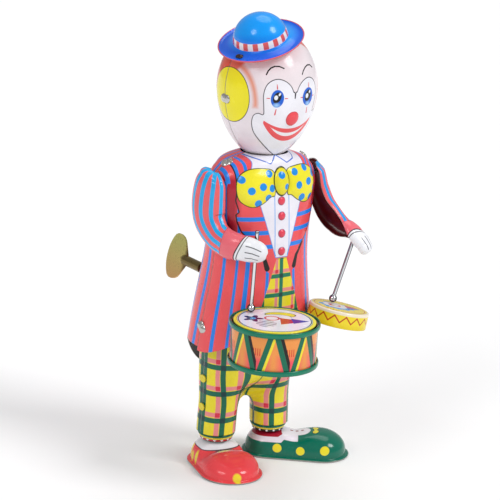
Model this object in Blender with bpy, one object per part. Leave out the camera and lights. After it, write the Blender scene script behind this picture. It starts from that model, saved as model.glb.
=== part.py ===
"""Wind-up tin clown drummer, about 232 mm tall.

Lithographed tin stampings joined by bent tabs, a spring movement between two plates, two arms that
swing on wire shafts and a head that turns on a spindle.  The clown looks along -Y and +Z is up.
Lengths below are millimetres in the toy's own frame: X = 0 is its middle plane and Z = 0 the floor.
"""
import math
import bpy
import bmesh
import numpy as np
from mathutils import Matrix, Vector

MM = 0.001
TIN = 0.5                              # thickness of every stamped sheet
GAP = 0.35                             # clearance left between neighbouring pieces
CENTRE = Vector((6.71, -7.48, 0.0))    # middle of the toy's footprint, moved to the origin

# Coat: height, half width, front, seam and back
COAT = [(44.0, 33.4, -27.0, -3.5, 26.0), (62.0, 32.5, -27.0, -3.5, 24.5),
        (84.0, 29.2, -27.0, -3.8, 23.5), (97.0, 27.0, -26.8, -4.2, 22.4),
        (111.0, 25.6, -26.0, -4.6, 19.5), (125.0, 26.0, -25.0, -5.2, 16.5),
        (140.0, 28.2, -23.4, -6.0, 13.5), (150.0, 28.5, -22.0, -6.2, 12.0),
        (156.0, 25.6, -20.6, -6.4, 11.0), (160.5, 19.0, -19.4, -6.5, 9.0),
        (162.6, 11.4, -17.2, -6.5, 4.9)]
HEM, HEM_RISE, TAIL = 64.0, 12.0, 20.0   # hem at the sides, its rise in front, the drop of the tails
SHOULDER = Vector((0.0, -9.0, 150.0))  # axis of both arms, along X

# Trousers
LEG_X, LEG_SPLAY = 15.6, 0.7
LEG_R, LEG_DEPTH = 9.6, 9.6
LEG_BOTTOM, CROTCH, HIP, TROUSER_TOP = 17.1, 33.0, 50.0, 74.0
HIP_WIDTH, HIP_DEPTH = 25.4, 15.0

# Shoes: where the ankle is, which way the toe points (degrees from -Y towards +X)
SHOES = {"right": (-16.0, -8.0, 12.6, 14.4, 18.5, 11.0), "left": (16.0, 54.0, 11.2, 13.0, 28.0, 12.6)}
SHOE_FLANGE = 1.7                      # above: ankle x, heading, heel and toe radius, reach, toe height
SHOE_BASE, SOLE_T = 1.3, 0.5           # top of the flange and thickness of the sole plate

# Head and hat
HEAD = Vector((0.0, -6.0, 195.0))      # widest level of the head
HEAD_R, HEAD_DOWN, HEAD_UP = 24.6, 36.5, 28.5
HAT = Vector((-8.1, -10.0, 219.1))
HAT_AXIS = Vector((-0.375, -0.15, 1.0)).normalized()
CROWN_R, CROWN_H, BRIM_R = 13.4, 12.9, 20.8

# Drums
DRUM = Vector((-17.5, -47.6, 68.2))    # middle of the underside
DRUM_R, DRUM_H, HOOP = 21.0, 21.2, 0.95
SMALL = Vector((31.2, -34.5, 86.0))    # middle of the struck face
SMALL_R, SMALL_H, SMALL_TILT = 15.2, 8.2, 12.0
BALL_R, ROD_R = 2.0, 0.95
STICKS = {"right": ((-21.1, -32.4, 91.75), (-18.9, -31.1, 130.0)),
          "left": ((31.7, -28.0, 88.4), (41.4, -30.0, 120.6))}

# Movement: plates stand across Y, arbors run along Y; (x, z) of each arbor
PLATE_FRONT, PLATE_BACK, PLATE_T = -10.0, 8.0, 1.0
MODULE, WHEEL_TEETH, PINION_TEETH = 0.6, 36, 10
MESH_GAP = 0.32                        # extra centre distance, so the teeth run free
KEY_AT = (-14.0, 96.0)
CENTRE_DISTANCE = MODULE * (WHEEL_TEETH + PINION_TEETH) / 2 + MESH_GAP
ARBOR_R, BORE_R = 0.8, 1.15


def polar(at, degrees, distance=CENTRE_DISTANCE):
    """Next arbor, one wheel and pinion distance away in the given direction."""
    a = math.radians(degrees)
    return (at[0] + distance * math.cos(a), at[1] + distance * math.sin(a))


SECOND_AT = polar(KEY_AT, 20.0)
CAM_AT = polar(SECOND_AT, 70.0)
ESCAPE_AT = polar(CAM_AT, -50.0)
GOVERNOR_AT = (ESCAPE_AT[0], ESCAPE_AT[1] - 9.6)
KEY_Y, KEY_HALF_LENGTH, KEY_HALF_HEIGHT, KEY_LEAN = 46.0, 9.0, 12.5, 14.0

for old in list(bpy.data.objects):
    bpy.data.objects.remove(old, do_unlink=True)

MATERIALS = {}


def material(name, colour, roughness, metallic):
    """A Principled material, made once for each name."""
    if name not in MATERIALS:
        m = bpy.data.materials.new(name)
        m.use_nodes = True
        shader = m.node_tree.nodes["Principled BSDF"]
        shader.inputs["Base Color"].default_value = (*colour, 1.0)
        shader.inputs["Roughness"].default_value = roughness
        shader.inputs["Metallic"].default_value = metallic
        MATERIALS[name] = m
    return MATERIALS[name]


RED_TIN = material("coat_tin", (0.9, 0.12, 0.13), 0.25, 0.0)
PLAID_TIN = material("plaid_tin", (0.85, 0.75, 0.05), 0.25, 0.0)
WHITE_TIN = material("white_tin", (0.85, 0.8, 0.8), 0.2, 0.0)
BLUE_TIN = material("blue_tin", (0.02, 0.3, 0.9), 0.2, 0.0)
GREEN_TIN = material("green_tin", (0.0, 0.25, 0.2), 0.25, 0.0)
SHOE_TIN = material("red_shoe_tin", (0.85, 0.05, 0.06), 0.2, 0.0)
ORANGE_TIN = material("drum_tin", (0.9, 0.35, 0.1), 0.25, 0.0)
YELLOW_TIN = material("yellow_tin", (0.9, 0.8, 0.03), 0.25, 0.0)
BARE_TIN = material("bare_tin", (0.7, 0.7, 0.7), 0.3, 1.0)
STEEL = material("steel", (0.55, 0.55, 0.57), 0.3, 1.0)
CHROME = material("chrome", (0.8, 0.8, 0.82), 0.1, 1.0)
BRASS = material("brass", (0.75, 0.62, 0.25), 0.3, 1.0)


def smooth_table(table, x):
    """Catmull-Rom curve through the rows of a table, read at the values x of its first column."""
    t = np.asarray(table, float)
    x = np.clip(np.asarray(x, float), t[0, 0], t[-1, 0])
    i = np.clip(np.searchsorted(t[:, 0], x, side="right") - 1, 0, len(t) - 2)
    h = (t[i + 1, 0] - t[i, 0])[..., None]
    u = (x - t[i, 0])[..., None] / h
    slope = np.gradient(t[:, 1:], t[:, 0], axis=0)
    a, b = t[i, 1:], t[i + 1, 1:]
    return ((2 * u**3 - 3 * u**2 + 1) * a + (u**3 - 2 * u**2 + u) * h * slope[i]
            + (-2 * u**3 + 3 * u**2) * b + (u**3 - u**2) * h * slope[i + 1])


def power(value, exponent):
    """Signed power, for superellipse sections."""
    return np.sign(value) * np.abs(value) ** exponent


def pivot(name, at):
    """An empty on a joint's axis, which the moving pieces hang from."""
    e = bpy.data.objects.new("axis_" + name, None)
    e.location = (Vector(at) - CENTRE) * MM
    bpy.context.collection.objects.link(e)
    return e


def finish(name, bm, look, parent=None):
    """Turn a bmesh in toy millimetres into a named object in metres."""
    bm.transform(Matrix.Diagonal((MM, MM, MM, 1.0)) @ Matrix.Translation(-CENTRE))
    mesh = bpy.data.meshes.new(name)
    bm.to_mesh(mesh)
    bm.free()
    mesh.materials.append(look)
    mesh.shade_smooth()
    mesh.set_sharp_from_angle(angle=math.radians(35.0))
    ob = bpy.data.objects.new(name, mesh)
    bpy.context.collection.objects.link(ob)
    hang(ob, parent)
    return ob


def hang(ob, parent):
    """Parent a piece to its joint's empty without moving it."""
    if parent is not None:
        ob.parent = parent
        ob.location = ob.location - parent.location


def sheet_grid(rows, closed=False):
    """A bmesh of quads through a grid of points; closed joins the last column to the first."""
    rows = np.asarray(rows, float)
    bm = bmesh.new()
    grid = [[bm.verts.new(p) for p in row] for row in rows]
    width = rows.shape[1] if closed else rows.shape[1] - 1
    for lower, upper in zip(grid[:-1], grid[1:]):
        for i in range(width):
            j = (i + 1) % rows.shape[1]
            bm.faces.new((lower[i], lower[j], upper[j], upper[i]))
    bmesh.ops.remove_doubles(bm, verts=bm.verts[:], dist=0.002)
    bmesh.ops.dissolve_degenerate(bm, edges=bm.edges[:], dist=0.002)
    return bm


def sheet(name, bm, look, parent=None, inward=None, thickness=TIN):
    """A stamped sheet: the open surface is its printed face and the metal lies behind it."""
    bmesh.ops.recalc_face_normals(bm, faces=bm.faces[:])
    if inward is not None:
        centre = Vector(inward)
        facing = sum((f.calc_center_median() - centre).dot(f.normal) * f.calc_area() for f in bm.faces)
        if facing < 0:
            bmesh.ops.reverse_faces(bm, faces=bm.faces[:])
    ob = finish(name, bm, look, parent)
    wall = ob.modifiers.new("sheet", "SOLIDIFY")
    wall.thickness = thickness * MM
    wall.offset = -1.0
    return ob


def turned(name, profile, look, at, axis=(0, 0, 1), segments=32, parent=None, loop=False):
    """A piece turned about an axis: profile is (radius, height); loop closes the profile on itself."""
    bm = bmesh.new()
    verts = [bm.verts.new((r, 0.0, h)) for r, h in profile]
    pairs = list(zip(verts, verts[1:])) + ([(verts[-1], verts[0])] if loop else [])
    edges = [bm.edges.new(p) for p in pairs]
    bmesh.ops.spin(bm, geom=verts + edges, cent=(0, 0, 0), axis=(0, 0, 1), angle=math.tau,
                   steps=segments, use_merge=True)
    bmesh.ops.remove_doubles(bm, verts=bm.verts[:], dist=0.001)
    bmesh.ops.recalc_face_normals(bm, faces=bm.faces[:])
    turn = Vector((0, 0, 1)).rotation_difference(Vector(axis)).to_matrix().to_4x4()
    bm.transform(Matrix.Translation(Vector(at)) @ turn)
    return finish(name, bm, look, parent)


def prism(name, outline, depth, look, frame, parent=None, bore=None):
    """Extrude a flat outline (and its bore) by depth along the frame's third axis."""
    bm = bmesh.new()
    outer = [bm.verts.new((x, y, 0.0)) for x, y in outline]
    if bore is None:
        bm.faces.new(outer)
    else:
        inner = [bm.verts.new((x, y, 0.0)) for x, y in bore]
        n = len(outer)
        for i in range(n):
            bm.faces.new((outer[i], outer[(i + 1) % n], inner[(i + 1) % n], inner[i]))
    top = bmesh.ops.extrude_face_region(bm, geom=bm.faces[:])
    moved = [v for v in top["geom"] if isinstance(v, bmesh.types.BMVert)]
    bmesh.ops.translate(bm, verts=moved, vec=(0, 0, depth))
    bmesh.ops.recalc_face_normals(bm, faces=bm.faces[:])
    bm.transform(frame)
    return finish(name, bm, look, parent)


def frame_at(origin, x_axis, y_axis):
    """A matrix with the given origin and first two axes; the third is square to them."""
    x = Vector(x_axis).normalized()
    z = x.cross(Vector(y_axis)).normalized()
    y = z.cross(x)
    m = Matrix((x, y, z)).transposed().to_4x4()
    m.translation = Vector(origin)
    return m


def across_y(at, y):
    """Frame of a wheel or plate: drawn in X and Z, its thickness running from y towards +Y."""
    return frame_at((at[0], y, at[1]), (0, 0, 1), (1, 0, 0))


def circle(radius, count, start=0.0):
    """Points of a circle."""
    return [(radius * math.cos(start + math.tau * i / count), radius * math.sin(start + math.tau * i / count))
            for i in range(count)]


def rounded_box(width, height, radius, steps=3, centre=(0.0, 0.0)):
    """Outline of a rectangle with round corners."""
    points = []
    for k, (sx, sy) in enumerate(((1, 1), (-1, 1), (-1, -1), (1, -1))):
        for j in range(steps + 1):
            a = math.radians(90.0) * (k + j / steps)
            points.append((centre[0] + sx * (width / 2 - radius) + radius * math.cos(a),
                           centre[1] + sy * (height / 2 - radius) + radius * math.sin(a)))
    return points


def wire(name, points, radius, look, parent=None, sides=2):
    """A bent wire: a poly curve with a round bevel and filled ends."""
    curve = bpy.data.curves.new(name, "CURVE")
    curve.dimensions = "3D"
    curve.bevel_depth = radius * MM
    curve.bevel_resolution = sides
    curve.use_fill_caps = True
    spline = curve.splines.new("POLY")
    spline.points.add(len(points) - 1)
    for p, co in zip(spline.points, points):
        p.co = (*((Vector(co) - CENTRE) * MM), 1.0)
    curve.materials.append(look)
    ob = bpy.data.objects.new(name, curve)
    bpy.context.collection.objects.link(ob)
    hang(ob, parent)
    return ob


def drill(ob, at, axis, radius, length):
    """Cut a round hole through a piece."""
    bm = bmesh.new()
    bmesh.ops.create_cone(bm, cap_ends=True, segments=16, radius1=radius, radius2=radius, depth=length)
    turn = Vector((0, 0, 1)).rotation_difference(Vector(axis)).to_matrix().to_4x4()
    bm.transform(Matrix.Translation(Vector(at)) @ turn)
    cutter = finish("drill_" + ob.name, bm, BARE_TIN)
    cutter.hide_render = True
    cutter.display_type = "WIRE"
    cut = ob.modifiers.new("hole", "BOOLEAN")
    cut.operation = "DIFFERENCE"
    cut.solver = "EXACT"
    cut.object = cutter
    return ob


def join(ob, other):
    """Unite a second solid with a piece, as when both are cut or rolled from one blank."""
    other.hide_render = True
    other.display_type = "WIRE"
    unite = ob.modifiers.new("unite", "BOOLEAN")
    unite.operation = "UNION"
    unite.solver = "EXACT"
    unite.object = other
    return ob


def twisted_tab(name, at, out, along, look=BARE_TIN, parent=None, size=3.6, reach=2.6, twist=55.0):
    """A tab pushed through a slot and twisted: a short strip whose end turns and widens."""
    out, along = Vector(out).normalized(), Vector(along).normalized()
    rows = []
    for k in range(6):
        u = k / 5
        turn = Matrix.Rotation(math.radians(twist) * u, 3, out)
        wide = turn @ along * (size / 2 * (0.62 + 0.38 * math.sin(math.pi * min(1.0, 0.25 + u * 0.8))))
        thick = (turn @ along).cross(out) * 0.3
        base = Vector(at) + out * reach * u
        rows.append([base - wide - thick, base + wide - thick, base + wide + thick, base - wide + thick])
    bm = sheet_grid(rows, closed=True)
    loops = [e for e in bm.edges if e.is_boundary]
    bmesh.ops.holes_fill(bm, edges=loops, sides=4)
    bmesh.ops.recalc_face_normals(bm, faces=bm.faces[:])
    return finish(name, bm, look, parent)


# ---------------------------------------------------------------- coat
def coat_point(z, angle, front):
    """Point of the coat at a height; angle runs 0..pi from the right seam to the left one."""
    half, y_front, seam, y_back = np.moveaxis(smooth_table(COAT, z), -1, 0)
    depth = (seam - GAP / 2 - y_front) if front else (y_back - seam - GAP / 2)
    side = -1.0 if front else 1.0
    x = -half * power(np.cos(angle), 0.87)
    y = seam + side * (GAP / 2 + depth * np.abs(np.sin(angle)) ** 0.87)
    return np.stack([x, y, z + 0 * x], -1)


def coat_half(name, front, columns=18, levels=15):
    """One stamped half of the coat, from the curved hem to the neck opening."""
    angle = np.linspace(0.0, math.pi, columns + 1)[None, :]
    level = np.linspace(0.0, 1.0, levels + 1)[:, None]
    if front:
        hem = HEM - 1.0 + HEM_RISE * np.sin(angle) ** 2
    else:
        hem = HEM + 1.0 - TAIL * np.clip((np.sin(angle) - 0.45) / 0.52, 0, 1) ** 2
    top = COAT[-1][0]
    z = hem + (top - hem) * (1 - (1 - level) ** 1.25)
    rows = coat_point(z, angle + 0 * z, front)
    return sheet(name, sheet_grid(rows), RED_TIN, inward=(0, -3, 110))


coat_front = coat_half("coat_front", True)
drill(coat_front, SHOULDER, (1, 0, 0), 1.5, 80.0)
coat_back = coat_half("coat_back", False)
drill(coat_back, (KEY_AT[0], 22.0, KEY_AT[1]), (0, 1, 0), 2.0, 20.0)

for side, sx in (("right", -1.0), ("left", 1.0)):
    twisted_tab("shoulder_tab_" + side, (sx * 23.1, -7.5, 159.7), (sx * 0.45, -0.1, 0.9), (1.0, 0.1, 0.0))
    twisted_tab("coat_tab_" + side, (sx * 31.7, -5.0, 75.0), (sx, 0.0, 0.1), (0.0, 0.35, 1.0), size=4.2)


# ---------------------------------------------------------------- trousers
def smoothstep(v):
    v = np.clip(v, 0.0, 1.0)
    return v * v * (3 - 2 * v)


def trouser_half(name, front, rows_count=8, columns=7):
    """Front or back stamping of both legs.  Each leg is a half round; only its inner edge is drawn
    out to an arch at the crotch, and the two halves melt into one hip section above it."""
    side = -1.0 if front else 1.0
    low = np.linspace(LEG_BOTTOM, CROTCH, 5)
    z = np.concatenate([low, np.linspace(CROTCH, TROUSER_TOP, rows_count)[1:]])[:, None]
    u = np.linspace(0.0, 1.0, columns + 1)[None, :]
    arch = np.sqrt(np.clip(1 - np.clip((z - 23.0) / (CROTCH - 23.0), 0, 1) ** 2, 0, 1))
    middle = LEG_X + LEG_SPLAY * (CROTCH - z) / (CROTCH - LEG_BOTTOM)
    middle = np.where(z < CROTCH, middle, LEG_X)
    inner = (middle - LEG_R) * np.where(z < CROTCH, arch, 0.0)
    hip = smoothstep((z - CROTCH) / (HIP - CROTCH))
    leg_x = middle + LEG_R * np.cos(math.pi * u) - (middle - LEG_R - inner) * u**12
    leg_y = LEG_DEPTH * np.sin(math.pi * u) ** 0.85
    hip_x = HIP_WIDTH * np.cos(math.pi / 2 * u)
    hip_y = HIP_DEPTH * np.sin(math.pi / 2 * u) ** 0.75
    x = leg_x * (1 - hip) + hip_x * hip
    y = leg_y * (1 - hip) + hip_y * hip + TIN * u**4 * smoothstep((z - 28.0) / 5.0)
    bm = bmesh.new()
    for sx in (-1.0, 1.0):
        points = np.stack([sx * x, side * (GAP / 2 + y), z + 0 * x], -1)
        grid = [[bm.verts.new(p) for p in row] for row in points]
        for lower, upper in zip(grid[:-1], grid[1:]):
            for i in range(columns):
                bm.faces.new((lower[i], lower[i + 1], upper[i + 1], upper[i]))
    bmesh.ops.remove_doubles(bm, verts=bm.verts[:], dist=0.01)
    return sheet(name, bm, PLAID_TIN, inward=(0, 0, 50))


trouser_half("trousers_front", True)
trouser_half("trousers_back", False)
for side, sx in (("right", -1.0), ("left", 1.0)):
    for place, z in (("upper", 46.0), ("lower", 31.0)):
        edge = LEG_X + LEG_R + (LEG_SPLAY * (CROTCH - z) / (CROTCH - LEG_BOTTOM) if z < CROTCH else 0.0)
        outline = rounded_box(4.4, 3.8, 1.7)
        prism("trouser_tab_%s_%s" % (side, place), outline, 0.6, PLAID_TIN,
              frame_at((sx * (edge + GAP), -0.4, z), (0, 1, 0), (0, 0, sx)))

# ---------------------------------------------------------------- ankles and shoes
for side, (ankle, *_) in SHOES.items():
    cuff = [(9.2, 16.75), (9.5, 16.2), (9.2, 15.6), (8.6, 15.3), (8.3, 13.6), (6.4, 13.6), (6.4, 16.75)]
    turned("ankle_cuff_" + side, cuff, GREEN_TIN, (ankle, 0, 0), loop=True, segments=24)


def shoe_height(along, reach, toe):
    """Height of the shoe's back along its length: flat ankle, dip, then the round toe."""
    return np.interp(along, np.array([-0.5, 0.29, 0.5, 0.78, 1.04, 1.5]) * reach,
                     [12.8, 12.8, toe - 1.7, toe - 0.2, toe, toe - 1.6])


def sole_outline(size, around, extra=0.0, shrink=1.0, between=()):
    """Stadium from heel circle to toe circle, in (along, across); between adds points on its sides."""
    heel_r, toe_r, reach, _ = size
    points = []
    for end, other, radius, far, start in ((0.0, reach, heel_r, toe_r, 90.0),
                                           (reach, 0.0, toe_r, heel_r, -90.0)):
        r = radius * shrink + extra
        for j in range(around + 1):
            t = math.radians(start + 180.0 * j / around)
            points.append((end + r * math.cos(t), r * math.sin(t)))
        for u in between if end == 0.0 else [1 - v for v in reversed(between)]:
            side = -1.0 if end == 0.0 else 1.0
            points.append((end + (other - end) * u, side * ((radius + (far - radius) * u) * shrink + extra)))
    return points


def heading_frame(ankle, heading):
    """Frame on the floor under an ankle whose first axis points along the shoe."""
    a = math.radians(heading)
    forward = Vector((math.sin(a), -math.cos(a), 0.0))
    return frame_at((ankle, 0, 0), forward, Vector((0, 0, 1)).cross(forward))


def shoe(name, ankle, heading, size, look, around=9, levels=6):
    """Rings shrink from the sole's outline onto the line from ankle to toe while they rise."""
    rows = [[(x, y, SHOE_BASE) for x, y in sole_outline(size, around, extra=SHOE_FLANGE,
                                                    between=(0.3, 0.5, 0.75))]]
    for k in range(levels + 1):
        a = math.pi / 2 * k / levels
        ring = sole_outline(size, around, shrink=math.cos(a) ** 0.8, between=(0.3, 0.5, 0.75))
        lift = math.sin(a) ** 0.75
        rows.append([(x, y, SHOE_BASE + (float(shoe_height(x, size[2], size[3])) - SHOE_BASE) * lift)
                     for x, y in ring])
    bm = sheet_grid(rows, closed=True)
    bm.transform(heading_frame(ankle, heading))
    return sheet(name, bm, look, thickness=0.45, inward=heading_frame(ankle, heading) @ Vector((12, 0, 4)))


def sole(name, ankle, heading, size):
    """Flat plate under the shoe."""
    prism(name, sole_outline(size, 12, extra=1.2), SOLE_T, BARE_TIN, heading_frame(ankle, heading))


for side, (ankle, heading, *size) in SHOES.items():
    shoe("shoe_" + side, ankle, heading, size, SHOE_TIN if side == "right" else GREEN_TIN)
    sole("sole_plate_" + side, ankle, heading, size)

# ---------------------------------------------------------------- head
head_axis = pivot("head", (HEAD.x, HEAD.y, 156.0))


def head_radius(z):
    """Egg profile: an ellipse above the widest level, a slightly fuller curve below it."""
    up = np.clip((z - HEAD.z) / HEAD_UP, 0.0, 1.0)
    down = np.clip((HEAD.z - z) / HEAD_DOWN, 0.0, 1.0)
    return HEAD_R * np.where(z >= HEAD.z, np.sqrt(1 - up**2), (1 - down**1.9) ** 0.55)


def head_half(name, front, columns=12, levels=12):
    """Face stamping or back stamping, with a round opening for the spindle below."""
    level = np.linspace(0.0, 1.0, levels + 1)
    z = HEAD.z - np.cos(level * math.pi) * np.where(level < 0.5, HEAD_DOWN, HEAD_UP)
    radius = np.maximum(head_radius(z), np.where(level < 0.5, 3.4, 0.8))
    angle = np.linspace(0.0, math.pi, columns + 1)[None, :]
    side = -1.0 if front else 1.0
    x = HEAD.x - radius[:, None] * np.cos(angle)
    y = HEAD.y + side * (GAP / 2 + radius[:, None] * np.sin(angle))
    rows = np.stack([x, y, z[:, None] + 0 * x], -1)
    return sheet(name, sheet_grid(rows), WHITE_TIN, head_axis, inward=HEAD)


head_half("head_front", True)
head_half("head_back", False)
for side, sx in (("right", -1.0), ("left", 1.0)):
    twisted_tab("ear_tab_" + side, (HEAD.x + sx * (HEAD_R + GAP), HEAD.y, 190.5), (sx, 0, 0), (0, 1, 0.2),
                parent=head_axis, size=4.4, reach=1.4)

# Bowler: crown and brim are one stamping, and two tabs clinch it to the head
crown = [(CROWN_R * math.sin(a), CROWN_H * math.cos(a)) for a in np.linspace(0.06, math.pi / 2, 6)]
brim = [(CROWN_R + 0.7, -0.3), (CROWN_R + 3.2, -1.0), (BRIM_R - 1.0, -1.2), (BRIM_R, -0.5)]
hat_bm = bmesh.new()
profile = [hat_bm.verts.new((r, 0.0, h)) for r, h in crown + brim]
profile_edges = [hat_bm.edges.new(p) for p in zip(profile, profile[1:])]
bmesh.ops.spin(hat_bm, geom=profile + profile_edges, cent=(0, 0, 0), axis=(0, 0, 1), angle=math.tau,
               steps=24, use_merge=True)
bmesh.ops.remove_doubles(hat_bm, verts=hat_bm.verts[:], dist=0.001)
hat_turn = Vector((0, 0, 1)).rotation_difference(HAT_AXIS).to_matrix().to_4x4()
hat_bm.transform(Matrix.Translation(HAT) @ hat_turn)
sheet("hat", hat_bm, BLUE_TIN, head_axis, inward=HAT)
for number, heading in ((1, 196.0), (2, 20.0)):
    a = math.radians(heading)
    local = Vector((17.2 * math.cos(a), 17.2 * math.sin(a), -1.0 + GAP))
    across = hat_turn.to_3x3() @ Vector((-math.sin(a), math.cos(a), 0.0))
    twisted_tab("hat_tab_%d" % number, hat_turn @ local + HAT, HAT_AXIS, across, parent=head_axis,
                size=3.0, reach=1.2)

turned("head_spindle", [(0, 152.9), (1.2, 152.9), (1.2, 161.6), (5.5, 161.6), (5.5, 162.4), (1.2, 162.4),
                        (1.2, 168.0), (0, 168.0)], STEEL, (HEAD.x, HEAD.y, 0), segments=16, parent=head_axis)
bridge = prism("neck_bridge", rounded_box(36.0, 9.0, 1.5), 0.8, BARE_TIN,
               frame_at((HEAD.x, HEAD.y, 155.0), (1, 0, 0), (0, 1, 0)))
drill(bridge, (HEAD.x, HEAD.y, 155.4), (0, 0, 1), 1.7, 5.0)

# ---------------------------------------------------------------- arms
ARM_PATHS = {
    "right": [(-29.6, -7.8, 155.6, 2.6, 1.6), (-29.8, -6.6, 151.0, 8.4, 5.2), (-29.6, -5.2, 141.0, 10.0, 6.6),
              (-29.0, -5.6, 131.5, 9.6, 6.8), (-28.2, -11.5, 124.6, 8.2, 6.4), (-27.0, -18.6, 121.8, 7.2, 6.0),
              (-24.6, -26.9, 121.2, 6.4, 5.2), (-20.6, -33.2, 120.6, 5.6, 4.8), (-17.0, -37.6, 118.8, 1.6, 1.4)],
    "left": [(29.6, -7.8, 155.6, 2.6, 1.6), (29.9, -7.2, 151.0, 8.4, 5.2), (31.0, -8.0, 141.0, 10.0, 6.6),
             (33.4, -11.6, 131.5, 9.6, 6.8), (36.6, -17.8, 124.6, 8.2, 6.4), (39.6, -23.6, 121.0, 7.2, 6.0),
             (42.2, -29.0, 118.8, 6.6, 5.2), (44.2, -33.2, 115.2, 5.2, 4.4), (45.0, -35.0, 111.6, 1.6, 1.4)]}


def arm_surface(side, stations=16, around=10):
    """Half shell carried along the arm: open towards the body, half width and depth vary."""
    path = np.array(ARM_PATHS[side])
    s = np.linspace(0.0, len(path) - 1, stations + 1)
    line = smooth_table(np.column_stack([np.arange(len(path)), path]), s)
    centre, half, depth = line[:, :3], line[:, 3:4], line[:, 4:5]
    ahead = np.gradient(centre, axis=0)
    ahead /= np.linalg.norm(ahead, axis=1, keepdims=True)
    outward = np.tile([-1.0 if side == "right" else 1.0, -0.25, 0.0], (len(s), 1))
    outward -= (outward * ahead).sum(1, keepdims=True) * ahead
    outward /= np.linalg.norm(outward, axis=1, keepdims=True)
    across = np.cross(ahead, outward)
    angle = np.linspace(0.0, math.pi, around + 1)
    return (centre[:, None] + half[:, None] * np.cos(angle)[None, :, None] * across[:, None]
            + depth[:, None] * (np.sin(angle) ** 0.8)[None, :, None] * outward[:, None])


for side, sx in (("right", -1.0), ("left", 1.0)):
    axis = pivot(side + "_arm", SHOULDER)
    rows = arm_surface(side)
    middle = np.array(ARM_PATHS[side])[3, :3]
    sheet("arm_" + side, sheet_grid(rows), RED_TIN, axis, inward=middle)
    foot_x, foot_y = (2.6, -12.6) if side == "right" else (5.3, -14.9)
    wire("arm_shaft_" + side, [(sx * 33.2, SHOULDER.y, SHOULDER.z),
                               (foot_x + sx * 2.2, SHOULDER.y, SHOULDER.z),
                               (foot_x + sx * 0.9, SHOULDER.y - 0.5, SHOULDER.z - 0.1),
                               (foot_x, SHOULDER.y - 1.6, SHOULDER.z - 0.5),
                               (foot_x, foot_y + 0.5, SHOULDER.z - 1.6), (foot_x, foot_y, SHOULDER.z - 3.0),
                               (foot_x, foot_y, 125.2)], 0.7, STEEL, axis, sides=1)
    ball, top = (Vector(p) for p in STICKS[side])
    length = (top - ball).length
    stick = [(BALL_R * math.sin(a), -BALL_R * math.cos(a)) for a in np.linspace(0.0, math.radians(150.0), 8)]
    stick[0] = (0.0, -BALL_R)
    stick += [(ROD_R, BALL_R + 0.1), (ROD_R, length), (0.0, length)]
    turned("drumstick_" + side, stick, CHROME, ball, (top - ball).normalized(), segments=14, parent=axis)

# ---------------------------------------------------------------- big drum
turned("drum_shell", [(DRUM_R, 0.9), (DRUM_R, DRUM_H - 0.9), (DRUM_R - TIN, DRUM_H - 0.9), (DRUM_R - TIN, 0.9)],
       ORANGE_TIN, DRUM, segments=36, loop=True)
turned("drum_head", [(0, DRUM_H - 0.45), (DRUM_R - 1.0, DRUM_H - 0.45), (DRUM_R - 1.0, DRUM_H),
                     (DRUM_R - 1.6, DRUM_H + 0.15), (0, DRUM_H + 0.15)], WHITE_TIN, DRUM, segments=36)
turned("drum_base", [(0, 0.0), (DRUM_R - 1.0, 0.0), (DRUM_R - 1.0, 0.5), (0, 0.5)], BARE_TIN, DRUM, segments=36)


def hoop_profile(z):
    """Rolled hoop that hugs the end of the drum from outside."""
    return [(DRUM_R + GAP, z - 1.2), (DRUM_R + 1.1, z - 1.0), (DRUM_R + 1.35, z), (DRUM_R + 1.1, z + 1.0),
            (DRUM_R + GAP, z + 1.2)]


turned("drum_hoop_top", hoop_profile(DRUM_H - 1.2), GREEN_TIN, DRUM, segments=36, loop=True)
turned("drum_hoop_bottom", hoop_profile(1.2), GREEN_TIN, DRUM, segments=36, loop=True)
prism("drum_bracket", rounded_box(7.0, 8.0, 1.0), 1.0, BARE_TIN,
      frame_at((DRUM.x, DRUM.y + DRUM_R + GAP + 1.05, 78.5), (1, 0, 0), (0, 0, 1)))

# ---------------------------------------------------------------- small drum
tilt = math.radians(SMALL_TILT)
small_axis = Vector((math.sin(tilt), 0.0, math.cos(tilt)))
turned("small_drum_cup", [(0.0, 0.0), (SMALL_R - 0.6, 0.0), (SMALL_R, -0.6), (SMALL_R, -SMALL_H),
                          (SMALL_R - TIN, -SMALL_H), (SMALL_R - TIN, -1.1), (0.0, -1.1)],
       YELLOW_TIN, SMALL, small_axis, segments=32)
turned("small_drum_base", [(0.0, -SMALL_H + 0.1), (SMALL_R - 0.9, -SMALL_H + 0.1),
                           (SMALL_R - 0.9, -SMALL_H + 0.6), (0.0, -SMALL_H + 0.6)],
       BARE_TIN, SMALL, small_axis, segments=32)
to_body = Vector((-0.61, 0.79, 0.0))
to_body = (to_body - small_axis * to_body.dot(small_axis)).normalized()
prism("small_drum_bracket", [(2.0, -2.5), (14.4, -2.5), (14.4, 2.5), (2.0, 2.5)], 0.7, BARE_TIN,
      frame_at(SMALL - small_axis * (SMALL_H + GAP + 0.6), to_body, small_axis.cross(to_body)))

# ---------------------------------------------------------------- movement frame
LOW, HIGH, LEFT, RIGHT = 79.0, 124.0, -19.5, 17.0
PLATE_MIDDLE = ((LEFT + RIGHT) / 2, (LOW + HIGH) / 2)


def movement_plate(name, y, holes):
    """A plate across the body with a bearing hole for every arbor."""
    outline = rounded_box(HIGH - LOW, RIGHT - LEFT, 10.0, steps=4)
    ob = prism(name, outline, PLATE_T, BARE_TIN, across_y(PLATE_MIDDLE, y))
    for at in holes:
        drill(ob, (at[0], y + PLATE_T / 2, at[1]), (0, 1, 0), BORE_R, 4.0)
    return ob


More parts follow.
